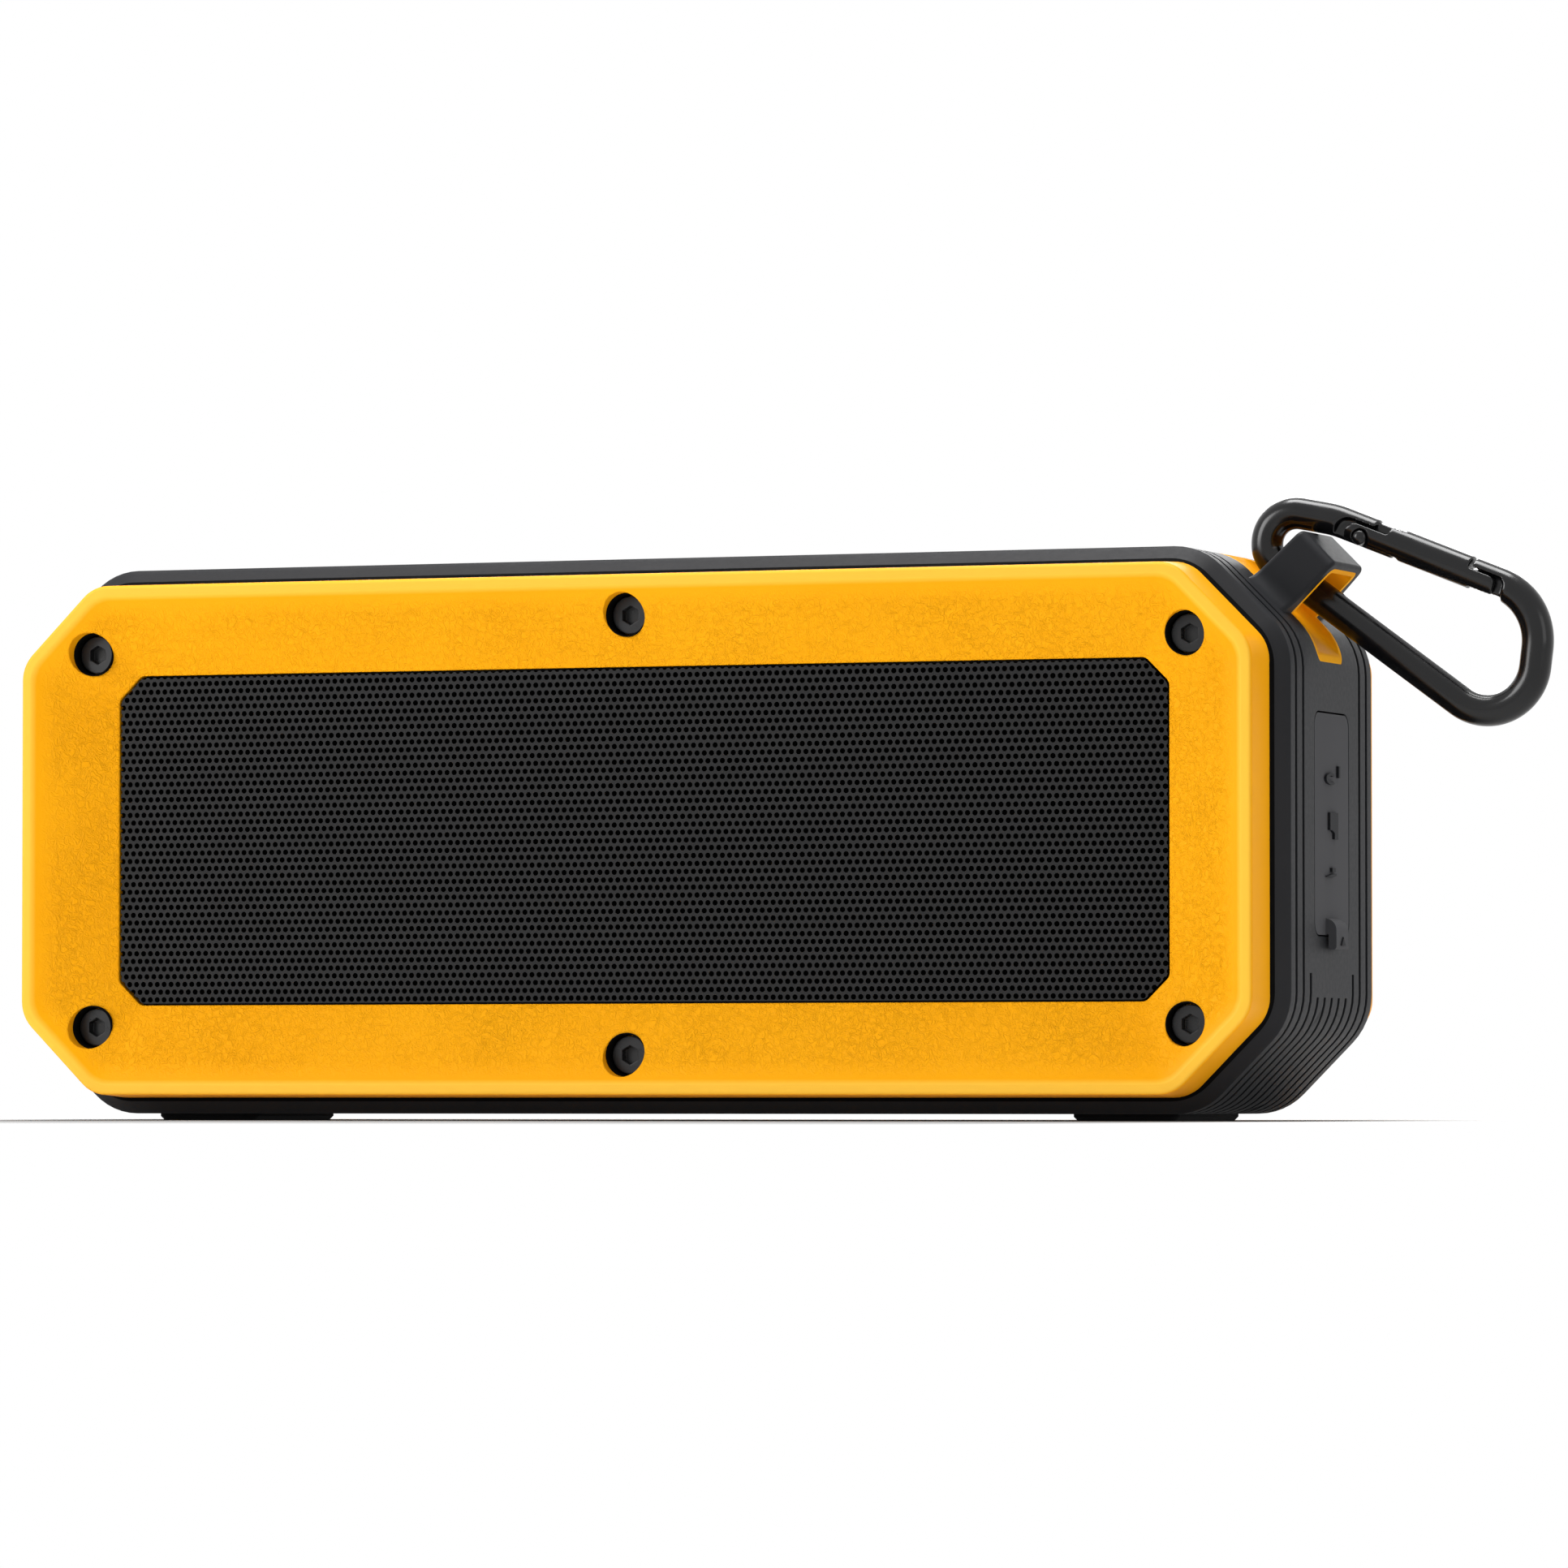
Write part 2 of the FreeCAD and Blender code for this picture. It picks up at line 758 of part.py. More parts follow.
def lug_liner(envelope, tunnel):
    channel = tunnel_block("liner_channel", "liner_wall", "30")
    shell = common("liner_shell", envelope, tunnel)
    return node("lug_liner", cut("lug_liner", shell, channel))


# Bezels, grilles, gaskets and baffles: drawn for the front, and turned half round for the rear

def turned(item, side):
    return place(item, rotation=HALF_TURN) if side == "rear" else item


def bezel(side):
    """A funnel frame: drafted outside, a narrow rim, and faces that slope in to the grille."""
    item = body(f"{side}_bezel")
    base = outline(item, f"{side}_bezel_base", "XZ_Plane", FRONT_Y, inset_octagon("bezel_inset", "bezel_corner"))
    ring_inset = "bezel_inset + bezel_draft"
    ring = outline(item, f"{side}_bezel_ring", "XZ_Plane", RING_Y, inset_octagon(ring_inset, "bezel_corner - bezel_draft"))
    loft = item.newObject("PartDesign::AdditiveLoft", f"{side}_bezel_side")
    loft.Profile = base
    loft.Sections = [ring]
    loft.Ruled = True
    doc.recompute()
    mouth_inset = "bezel_inset + bezel_draft + bezel_rim"
    mouth_round = "bezel_corner - bezel_draft - bezel_rim / 2"
    mouth = outline(item, f"{side}_mouth", "XZ_Plane", RING_Y, inset_octagon(mouth_inset, mouth_round))
    throat = outline(item, f"{side}_throat", "XZ_Plane", GRILLE_Y, opening_octagon("0", "opening_corner"))
    funnel = item.newObject("PartDesign::SubtractiveLoft", f"{side}_funnel")
    funnel.Profile = mouth
    funnel.Sections = [throat]
    funnel.Ruled = True
    doc.recompute()
    hole = outline(item, f"{side}_opening", "XZ_Plane", f"{GRILLE_Y} + 0.01", opening_octagon("0", "opening_corner"))
    pocket(item, f"{side}_opening_cut", hole, "bezel_height")
    rebate = outline(
        item, f"{side}_rebate", "XZ_Plane", f"{FRONT_Y} + flange_sheet",
        opening_octagon("grille_flange + grille_gap", "opening_corner + grille_flange"))
    pocket(item, f"{side}_rebate_cut", rebate, "flange_sheet + 1")
    seats = circles(item, f"{side}_seats", "XZ_Plane", f"{RING_Y} + 1", SCREW_CENTRES, "counterbore_dia / 2")
    pocket(item, f"{side}_seat_cut", seats, "seat_depth + 1")
    holes = circles(item, f"{side}_holes", "XZ_Plane", f"{RING_Y} + 1", SCREW_CENTRES, "screw_hole_dia / 2")
    pocket(item, f"{side}_hole_cut", holes, "bezel_height + 2")
    ring_y = -value(RING_Y)
    outer_x = value(f"{HALF_X} - ({ring_inset})")

    def on_outer_rim(edge):
        if not all(abs(v.Y - ring_y) < 1e-4 for v in edge.Vertexes):
            return False
        middle = edge.valueAt((edge.FirstParameter + edge.LastParameter) / 2)
        reach = max(abs(middle.x) - outer_x, abs(middle.z - value(MIDDLE_Z)) - value(f"casing_height / 2 - ({ring_inset})"))
        diagonal = abs(middle.x) + abs(middle.z - value(MIDDLE_Z))
        limit = value(f"casing_length / 2 + casing_height / 2 - casing_chamfer - sqrt(2) * ({ring_inset})")
        return reach > -1e-3 or diagonal > limit - 1.2

    soften(item, "Fillet", f"{side}_bezel_edge", item.Tip, edges_where(item.Shape, on_outer_rim), "bezel_edge")
    return node(f"{side}_bezel", turned(item, side))


def grille(side):
    """A drawn sheet pan whose flange lies in the bezel's rebate."""
    item = body(f"{side}_grille")
    face = outline(
        item, f"{side}_grille_face", "XZ_Plane", f"{FRONT_Y}",
        opening_octagon("-grille_gap", "opening_corner - grille_gap"))
    pad(item, f"{side}_grille_pad", face, "bezel_height - funnel_depth - grille_setback")
    flange = outline(
        item, f"{side}_grille_flange", "XZ_Plane", FRONT_Y,
        opening_octagon("grille_flange", "opening_corner + grille_flange"))
    pad(item, f"{side}_flange_pad", flange, "flange_sheet")
    inside = outline(
        item, f"{side}_grille_inside", "XZ_Plane", f"{GRILLE_Y} - grille_setback - grille_sheet",
        opening_octagon("-grille_gap - grille_sheet", "opening_corner - grille_gap"))
    pocket(item, f"{side}_grille_cut", inside, "bezel_height")
    return node(f"{side}_grille", turned(item, side))


def gasket(side):
    item = body(f"{side}_gasket")
    outer = outline(
        item, f"{side}_gasket_outer", "XZ_Plane", BAFFLE_Y,
        inset_octagon("casing_wall + edge_gap", "casing_corner - casing_wall - edge_gap"))
    pad(item, f"{side}_gasket_pad", outer, "gasket_thickness")
    inner = outline(
        item, f"{side}_gasket_inner", "XZ_Plane", f"{FRONT_Y} + 1",
        inset_octagon("casing_wall + edge_gap + gasket_width", "casing_corner - casing_wall - edge_gap"))
    pocket(item, f"{side}_gasket_cut", inner, "gasket_thickness + 2")
    holes = circles(item, f"{side}_gasket_holes", "XZ_Plane", f"{FRONT_Y} + 1", SCREW_CENTRES, "screw_hole_dia / 2")
    pocket(item, f"{side}_gasket_hole_cut", holes, "gasket_thickness + 2")
    return node(f"{side}_gasket", turned(item, side))


def baffle_plate(side):
    item = body(f"{side}_baffle_plate")
    outer = outline(
        item, f"{side}_baffle_outline", "XZ_Plane", BOSS_Y,
        inset_octagon("casing_wall + edge_gap", "casing_corner - casing_wall - edge_gap"))
    pad(item, f"{side}_baffle_pad", outer, "baffle_thickness")
    holes = circles(item, f"{side}_baffle_holes", "XZ_Plane", f"{FRONT_Y} + 1", SCREW_CENTRES, "screw_hole_dia / 2")
    pocket(item, f"{side}_baffle_hole_cut", holes, "baffle_thickness + gasket_thickness + 2")
    return item


DRIVER_CENTRES = [("left", "-driver_spacing / 2"), ("right", "driver_spacing / 2")]


def front_baffle():
    item = baffle_plate("front")
    centres = [(x, MIDDLE_Z) for side, x in DRIVER_CENTRES]
    holes = circles(item, "driver_holes", "XZ_Plane", f"{FRONT_Y} + 1", centres, "driver_hole_dia / 2")
    pocket(item, "driver_hole_cut", holes, "baffle_thickness + gasket_thickness + 2")
    return node("front_baffle", item)


def stadium(growth):
    """The passive radiator's round-ended outline, grown evenly."""
    half_x = f"radiator_length / 2 + ({growth})"
    half_z = f"radiator_height / 2 + ({growth})"
    return rectangle(
        f"-({half_x})", half_x, f"{MIDDLE_Z} - ({half_z})", f"{MIDDLE_Z} + {half_z}", f"{half_z} - 0.2")


def board_post_places():
    """Centres of the main board's four posts."""
    right = "(casing_length / 2 - casing_wall - board_edge_gap - board_post_inset)"
    left = f"({right} - board_length + 2 * board_post_inset)"
    low = "(board_middle - board_height / 2 + board_post_inset)"
    high = "(board_middle + board_height / 2 - board_post_inset)"
    return [(x, z) for x in (left, right) for z in (low, high)]


def tray_post_places():
    return [
        (f"{a}tray_post_span_x / 2", f"({MIDDLE_Z} {b} tray_post_span_z / 2)")
        for a in ("-", "") for b in ("-", "+")
    ]


TRAY_Y = "(cell_dia / 2 + tray_gap)"


def rear_baffle():
    """The rear plate, with the radiator's opening and the posts for the board and the tray."""
    plate = baffle_plate("rear")
    hole = outline(plate, "radiator_hole", "XZ_Plane", f"{FRONT_Y} + 1", stadium("-radiator_rim"))
    pocket(plate, "radiator_hole_cut", hole, "baffle_thickness + gasket_thickness + 2")
    turned(plate, "rear")
    posts = []
    for number, (x, z) in enumerate(board_post_places(), start=1):
        start = (x, "board_front + board_sheet", z)
        length = f"{BOSS_Y} + 0.5 - board_front - board_sheet"
        posts.append(rod(f"board_post_{number}", start, "board_post_dia / 2", length, ALONG_Y))
    for number, (x, z) in enumerate(tray_post_places(), start=1):
        start = (x, f"{TRAY_Y} + tray_sheet", z)
        length = f"{BOSS_Y} + 0.5 - {TRAY_Y} - tray_sheet"
        posts.append(rod(f"tray_post_{number}", start, "tray_post_dia / 2", length, ALONG_Y))
    holes = []
    for number, (x, z) in enumerate(board_post_places(), start=1):
        start = (x, "board_front", z)
        radius = "board_screw_dia / 2 + board_screw_play"
        holes.append(rod(f"post_hole_{number}", start, radius, "board_screw_length + 1", ALONG_Y))
    return node("rear_baffle", cut("rear_baffle", joined("rear_baffle_posts", plate, *posts), *holes))


# Screws and inserts

def screws(side):
    """Socket cap screws, each a head with a hexagonal socket and a plain shank."""
    sign = "-" if side == "front" else ""
    items = []
    for number, (x, z) in enumerate(SCREW_CENTRES, start=1):
        name = f"{side}_screw_{number}"
        head_y = f"-{SEAT_Y} - head_height" if side == "front" else SEAT_Y
        shank_y = f"-{SEAT_Y}" if side == "front" else f"{SEAT_Y} - screw_length"
        socket_y = f"-{SEAT_Y} - head_height" if side == "front" else f"{SEAT_Y} + head_height - socket_depth"
        head = rod(name + "_head", (x, head_y, z), "head_dia / 2", "head_height", ALONG_Y)
        shank = rod(name + "_shank", (x, shank_y, z), "shank_dia / 2", "screw_length", ALONG_Y)
        socket = doc.addObject("Part::Prism", name + "_socket")
        socket.Polygon = 6
        bind(socket, "Circumradius", "socket_flats / 2 / cos(30)")
        bind(socket, "Height", "socket_depth")
        place(socket, x, socket_y, z, ALONG_Y.multiply(Rotation(Vector(0, 0, 1), 30)))
        items.append(cut(name, joined(name + "_blank", head, shank), socket))
    return node(f"{side}_screws", group(f"{side}_screws", *items))


def inserts(side):
    """Brass threaded inserts, pressed into the bosses from their open ends."""
    items = []
    for number, (x, z) in enumerate(SCREW_CENTRES, start=1):
        name = f"{side}_insert_{number}"
        start = f"-{BOSS_Y}" if side == "front" else f"{BOSS_Y} - insert_length"
        outer = rod(name + "_outer", (x, start, z), "insert_dia / 2", "insert_length", ALONG_Y)
        bore = rod(name + "_bore", (x, start, z), "shank_dia / 2 + insert_play", "insert_length", ALONG_Y)
        items.append(cut(name, outer, bore))
    return node(f"{side}_inserts", group(f"{side}_inserts", *items))


# Drivers

def driver(side, x):
    """A small full-range driver: stepped basket, magnet, paper cone with dust cap, and its roll."""
    front = f"-{BAFFLE_Y}"
    flange = rod(f"{side}_flange", (x, f"{front} - driver_flange", MIDDLE_Z), "driver_dia / 2", "driver_flange", ALONG_Y)
    shell = taper(
        f"{side}_shell", (x, front, MIDDLE_Z),
        "driver_hole_dia / 2 - 0.5", "basket_back_dia / 2", "basket_depth", ALONG_Y)
    hollow = taper(
        f"{side}_hollow", (x, f"{front} - driver_flange", MIDDLE_Z),
        "driver_hole_dia / 2 - 0.5 - basket_wall", "basket_back_dia / 2 - basket_wall",
        "basket_depth + driver_flange - basket_wall", ALONG_Y)
    coil_hole = rod(
        f"{side}_coil_hole", (x, front, MIDDLE_Z), "dust_cap_dia / 2 + coil_gap", "basket_depth + 1", ALONG_Y)
    basket = cut(f"{side}_basket", joined(f"{side}_basket_solid", flange, shell), hollow, coil_hole)
    node(f"{side}_driver_basket", basket)
    back = f"{front} + basket_depth"
    magnet = rod(f"{side}_magnet", (x, back, MIDDLE_Z), "magnet_dia / 2", "magnet_height", ALONG_Y)
    node(f"{side}_driver_magnet", magnet)
    roll_y = f"({front} - driver_flange)"
    roll = doc.addObject("Part::Torus", f"{side}_roll")
    bind(roll, "Radius1", "surround_dia / 2")
    bind(roll, "Radius2", "surround_roll")
    place(roll, x, roll_y, MIDDLE_Z, ALONG_Y)
    behind = rod(f"{side}_roll_trim", (x, roll_y, MIDDLE_Z), "driver_dia / 2", "surround_roll + 1", ALONG_Y)
    node(f"{side}_driver_surround", cut(f"{side}_surround", roll, behind))
    cone_front = f"({roll_y} - cone_wall / 2)"
    outside = taper(
        f"{side}_cone_outside", (x, cone_front, MIDDLE_Z),
        "cone_dia / 2 - surround_roll / 2", "dust_cap_dia / 2", "cone_depth", ALONG_Y)
    inside = taper(
        f"{side}_cone_inside", (x, f"{cone_front} - cone_wall", MIDDLE_Z),
        "cone_dia / 2 - surround_roll / 2", "dust_cap_dia / 2", "cone_depth", ALONG_Y)
    cap = rod(
        f"{side}_dust_cap", (x, f"{cone_front} + cone_depth - 1.5", MIDDLE_Z),
        "dust_cap_dia / 2 + 0.5", "1.5", ALONG_Y)
    coil = rod(f"{side}_coil", (x, f"{cone_front} + cone_depth - 1.5", MIDDLE_Z), "dust_cap_dia / 2",
               f"{back} - {cone_front} - cone_depth + 1.5", ALONG_Y)
    hollow_cone = cut(f"{side}_cone_shell", outside, inside)
    node(f"{side}_driver_cone", joined(f"{side}_cone", hollow_cone, cap, coil))


# Passive radiator

def radiator():
    """A stadium frame, its rubber roll and the weighted plate in the middle."""
    frame = body("radiator_frame")
    outer = outline(frame, "frame_outer", "XZ_Plane", BAFFLE_Y, stadium("0"))
    pad(frame, "frame_pad", outer, "radiator_frame_sheet")
    inner = outline(frame, "frame_inner", "XZ_Plane", f"{FRONT_Y} + 1", stadium("-radiator_rim"))
    pocket(frame, "frame_cut", inner, "3")
    node("radiator_frame", turned(frame, "rear"))
    roll = body("radiator_surround")
    roll_outer = outline(roll, "roll_outer", "XZ_Plane", f"{BAFFLE_Y} - radiator_sheet", stadium("-radiator_rim"))
    pad(roll, "roll_pad", roll_outer, "radiator_sheet")
    roll_inner = outline(
        roll, "roll_inner", "XZ_Plane", f"{FRONT_Y} + 1", stadium("-radiator_rim - radiator_roll_width"))
    pocket(roll, "roll_cut", roll_inner, "4")
    node("radiator_surround", turned(roll, "rear"))
    weight = body("radiator_plate")
    weight_outline = outline(
        weight, "weight_outline", "XZ_Plane", f"{BAFFLE_Y} - radiator_sheet",
        stadium("-radiator_rim - radiator_roll_width"))
    pad(weight, "weight_pad", weight_outline, "2 * radiator_sheet")
    node("radiator_plate", turned(weight, "rear"))


# Battery

def battery():
    """Two upright cells, and a tray with a saddle rib at each end, on posts."""
    cells = []
    saddles = []
    for side, sign in (("left", "-"), ("right", "")):
        x = f"{sign}cell_spacing / 2"
        cells.append(rod(f"{side}_cell", (x, "0", "cell_bottom"), "cell_dia / 2", "cell_length"))
        saddles.append(rod(f"{side}_saddle", (x, "0", "cell_bottom - 1"), "cell_dia / 2 + tray_gap", "cell_length + 2"))
    node("battery_cells", group("battery_cells", *cells))
    low_z = f"{MIDDLE_Z} - tray_height / 2"
    back = block("tray_back", ("-tray_length / 2", TRAY_Y, low_z), ("tray_length", "tray_sheet", "tray_height"))
    rib_low = block(
        "tray_rib_low", ("-tray_length / 2", f"{TRAY_Y} - 5", low_z), ("tray_length", "5", "2 * tray_sheet"))
    rib_high = block(
        "tray_rib_high", ("-tray_length / 2", f"{TRAY_Y} - 5", f"{MIDDLE_Z} + tray_height / 2 - 2 * tray_sheet"),
        ("tray_length", "5", "2 * tray_sheet"))
    node("battery_tray", cut("battery_tray", joined("tray_blank", back, rib_low, rib_high), *saddles))


# Main board and ports

BOARD_RIGHT = "(casing_length / 2 - casing_wall - board_edge_gap)"


def main_board():
    plate = block(
        "board_plate",
        (f"{BOARD_RIGHT} - board_length", "board_front", "board_middle - board_height / 2"),
        ("board_length", "board_sheet", "board_height"))
    holes = []
    screws_made = []
    for number, (x, z) in enumerate(board_post_places(), start=1):
        radius = "board_screw_dia / 2 + board_screw_play"
        holes.append(rod(f"board_hole_{number}", (x, "board_front - 1", z), radius, "board_sheet + 2", ALONG_Y))
        shank = rod(
            f"board_shank_{number}", (x, "board_front", z), "board_screw_dia / 2", "board_screw_length", ALONG_Y)
        head = rod(
            f"board_head_{number}", (x, "board_front - board_screw_head", z),
            "board_screw_head_dia / 2", "board_screw_head", ALONG_Y)
        screws_made.append(joined(f"board_screw_{number}", shank, head))
    node("main_board", cut("main_board", plate, *holes))
    node("board_screws", group("board_screws", *screws_made))


PLATE_OUT = "(casing_length / 2 - casing_wall)"


def port_block(label, height, width, thickness, depth, out="0"):
    low = (f"{PLATE_OUT} - {depth}", f"board_front - {thickness}", f"{height} - {width} / 2")
    return block(label, low, (f"{depth} + {out}", thickness, width))


def ports():
    """The panel behind the window, and the three sockets that show through it."""
    margin = "port_plate_margin"
    plate = block(
        "port_plate_blank",
        (f"{PLATE_OUT} - port_plate_sheet", f"-window_width / 2 - {margin}", f"window_bottom - {margin}"),
        ("port_plate_sheet", f"window_width + 2 * {margin}", f"window_height + 2 * {margin}"))
    usb_hole = port_block(
        "usb_hole", "usb_height", "(usb_width + 2 * port_gap)", "(usb_thickness + port_gap)", "usb_depth", "1")
    card_hole = port_block(
        "card_hole", "card_height", "(card_width + 2 * port_gap)", "(card_thickness + port_gap)", "card_depth", "1")
    aux_hole = rod(
        "aux_hole", (f"{PLATE_OUT} - aux_depth", "0", "aux_height"),
        "aux_collar_dia / 2 + port_gap", "aux_depth + 5", ALONG_X)
    node("port_plate", cut("port_plate", plate, usb_hole, card_hole, aux_hole))
    usb = port_block("usb_blank", "usb_height", "usb_width", "usb_thickness", "usb_depth")
    usb_mouth = block(
        "usb_mouth",
        (f"{PLATE_OUT} - usb_depth + 1", "board_front - usb_thickness + usb_shell",
         "usb_height - usb_width / 2 + usb_shell"),
        ("usb_depth", "usb_thickness - 2 * usb_shell", "usb_width - 2 * usb_shell"))
    tongue = block(
        "usb_tongue",
        (f"{PLATE_OUT} - usb_depth", "board_front - usb_thickness / 2 - 0.35", "usb_height - usb_width / 3"),
        ("usb_depth - 1", "0.7", "usb_width / 1.5"))
    node("usb_socket", joined("usb_socket", cut("usb_shell_cut", usb, usb_mouth), tongue))
    aux_box = block(
        "aux_box", (f"{PLATE_OUT} - aux_depth", "board_front - aux_body", "aux_height - aux_body / 2"),
        ("aux_depth - port_plate_sheet - port_gap", "aux_body", "aux_body"))
    collar = rod(
        "aux_collar", (f"{PLATE_OUT} - aux_depth + 1", "0", "aux_height"),
        "aux_collar_dia / 2", "aux_depth - 1 + aux_collar_reach", ALONG_X)
    bore = rod(
        "aux_bore", (f"{PLATE_OUT} - aux_depth + 1", "0", "aux_height"),
        "aux_bore_dia / 2", "aux_depth + aux_collar_reach", ALONG_X)
    node("aux_socket", cut("aux_socket", joined("aux_blank", aux_box, collar), bore))
    card = port_block("card_blank", "card_height", "card_width", "card_thickness", "card_depth")
    slot = block(
        "card_mouth",
        (f"{PLATE_OUT} - card_depth + 1", "board_front - card_thickness + 0.4", "card_height - card_width / 2 + 0.2"),
        ("card_depth", "card_slot", "card_width - 0.4"))
    node("card_socket", cut("card_socket", card, slot))


# Rubber flap with its pull tab, and the anchor that holds its hinge

def port_flap():
    item = body("flap_cover")
    face = rectangle(
        "-flap_width / 2", "flap_width / 2", "flap_bottom", "flap_bottom + flap_height", "flap_corner")
    drawn = outline(item, "flap_outline", "YZ_Plane", "casing_length / 2 - flap_thickness", face)
    pad(item, "flap_pad_face", drawn, "flap_thickness")
    inner = rectangle(
        "-window_width / 2 + flap_pad_gap", "window_width / 2 - flap_pad_gap",
        "window_bottom + flap_pad_gap", "window_bottom + window_height - flap_pad_gap", "flap_corner")
    plug = outline(item, "flap_plug", "YZ_Plane", "casing_length / 2 - flap_thickness - flap_pad", inner)
    pad(item, "flap_plug_pad", plug, "flap_pad")
    tab = body("flap_tab")
    side = "casing_length / 2"
    corners = [
        (f"{side} - flap_thickness / 2", "tab_top"),
        (f"{side} - 0.1", "tab_top"),
        (f"{side} + tab_reach", "tab_top - 0.6", "tab_round"),
        (f"{side} + tab_reach", "tab_bottom", "0.45"),
        (f"{side} + tab_reach - tab_sheet", "tab_bottom", "0.4"),
        (f"{side} + tab_reach - tab_sheet", "flap_bottom + 0.1"),
        (f"{side} - flap_thickness / 2", "flap_bottom + 0.1"),
    ]
    profile = outline(tab, "tab_profile", "XZ_Plane", "-tab_width / 2", corners)
    pad(tab, "tab_pad", profile, "tab_width")
    return node("port_flap", joined("port_flap", item, tab))


def flap_anchor():
    """A rubber strip through the wall above the window, with a wider head inside."""
    strip = block(
        "anchor_strip",
        (f"{HALF_X} - casing_wall", "-anchor_width / 2 + edge_gap / 2", f"{ANCHOR_Z} + edge_gap / 4"),
        ("casing_wall - flap_thickness - flap_seat_gap", "anchor_width - edge_gap", "anchor_height - edge_gap / 2"))
    head = block(
        "anchor_head",
        (f"{HALF_X} - casing_wall - anchor_head", "-anchor_width / 2 - 1", f"{ANCHOR_Z} + edge_gap / 4"),
        ("anchor_head", "anchor_width + 2", "anchor_height + 1.5"))
    return node("flap_anchor", joined("flap_anchor", strip, head))


# Feet

def foot(side, sign):
    item = body(f"foot_{side}")
    low_x = "foot_outer - foot_width" if sign > 0 else "-foot_outer"
    corners = rectangle(
        low_x, f"{low_x} + foot_width", "-foot_length / 2", "foot_length / 2", "foot_corner")
    drawn = outline(item, f"{side}_foot_outline", "XY_Plane", "0", corners)
    pad(item, f"{side}_foot_pad", drawn, "stand_height + foot_recess")

    def on_sole(edge):
        return all(abs(v.Z) < 1e-4 for v in edge.Vertexes)

    soften(item, "Chamfer", f"{side}_foot_edge", item.Tip, edges_where(item.Shape, on_sole), "foot_edge")
    return node(f"foot_{side}", item)


# Buttons and their board

def button(number, name):
    """A flush rubber button with a flange under the wall and a stem down to its switch."""
    x = button_x(number)
    flange_top = f"{CASING_TOP} - casing_wall - button_rest_gap"
    cap = rod(f"{name}_cap", (x, "0", f"{flange_top} - 0.5"), "button_dia / 2", "casing_wall + button_rest_gap + 0.5")
    flange = rod(
        f"{name}_flange", (x, "0", f"{flange_top} - button_flange_sheet"),
        "button_dia / 2 + button_flange", "button_flange_sheet")
    stem = rod(
        f"{name}_stem", (x, "0", f"{flange_top} - button_flange_sheet - button_stem"),
        "button_stem_dia / 2", "button_stem + 0.5")
    return node(f"{name}_button", joined(f"{name}_button", cap, flange, stem))


def keypad():
    plate = block(
        "keypad_plate", ("-keypad_length / 2", "-keypad_width / 2", f"{KEYPAD_TOP} - keypad_sheet"),
        ("keypad_length", "keypad_width", "keypad_sheet"))
    node("keypad_board", plate)
    switches = []
    for number, name in enumerate(BUTTONS):
        low = (f"{button_x(number)} - switch_size / 2", "-switch_size / 2", KEYPAD_TOP)
        switches.append(block(f"{name}_switch", low, ("switch_size", "switch_size", "switch_height")))
    node("button_switches", group("button_switches", *switches))


# Carabiner, gate and rivet, drawn in the carabiner's own frame and set over the lug

HOOK_U = "(lug_length / 2 + hook_beyond_lug)"
HOOK_V = "(lug_height - hook_below_lug)"
HOOK_X = f"{LUG_X} + ({HOOK_V} - {HOOK_U}) / sqrt(2)"
HOOK_Z = f"{LUG_Z} + ({HOOK_V} + {HOOK_U}) / sqrt(2)"


def in_hook_frame(item):
    return place(item, HOOK_X, "0", HOOK_Z, Rotation(Vector(0, 1, 0), value("carabiner_tilt")))


def local_block(label, x_low, x_high, y_low, y_high, z_low, z_high):
    """A box in the carabiner's frame."""
    item = body(label)
    drawn = outline(item, label + "_side", "XZ_Plane", f"-({y_high})", rectangle(x_low, x_high, z_low, z_high))
    pad(item, label + "_pad", drawn, f"({y_high}) - ({y_low})")
    return item


def ring_bar():
    """The bent bar, swept from the middle of the gate's side right round to it again."""
    item = body("ring_bar")
    middle = "(gate_side / 2 + 3)"
    corners = [
        (f"{middle} + 0.5", "0"),
        ("gate_side", "0", "bow_top_bend"),
        ("bow_side", "-bow_drop", "bow_side_bend"),
        ("spine_end", "-bow_depth", "bow_low_bend"),
        ("spine_start", "-hook_depth", "hook_low_bend"),
        ("0", "-crown_drop", "hook_top_bend"),
        ("crown_place", "0", "crown_bend"),
        (f"{middle} - 0.5", "0"),
    ]
    path = outline(item, "bar_path", "XZ_Plane", "0", corners, closed=False)
    section = circles(item, "bar_section", "YZ_Plane", f"{middle} + 0.5", [("0", "0")], "rod_dia / 2")
    doc.recompute()
    pipe = item.newObject("PartDesign::AdditivePipe", "bar_sweep")
    pipe.Profile = section
    pipe.Spine = (path, [f"Edge{i + 1}" for i in range(len(path.Shape.Edges))])
    doc.recompute()
    return item


def hook_side_cutter(label, low, high):
    """The room beside the web for one cheek of the gate."""
    item = body(label)
    corners = [
        ("web_start", "-rod_dia"),
        ("web_end + 1", "-rod_dia"),
        ("web_end + 1", "rod_dia"),
        ("tongue_end", "rod_dia"),
        ("tongue_end", "tongue_under"),
        ("web_start", "tongue_under", "gate_cheek_round + 0.4"),
    ]
    drawn = outline(item, label + "_side", "XZ_Plane", f"-({high})", corners)
    pad(item, label + "_pad", drawn, f"({high}) - ({low})")
    return item


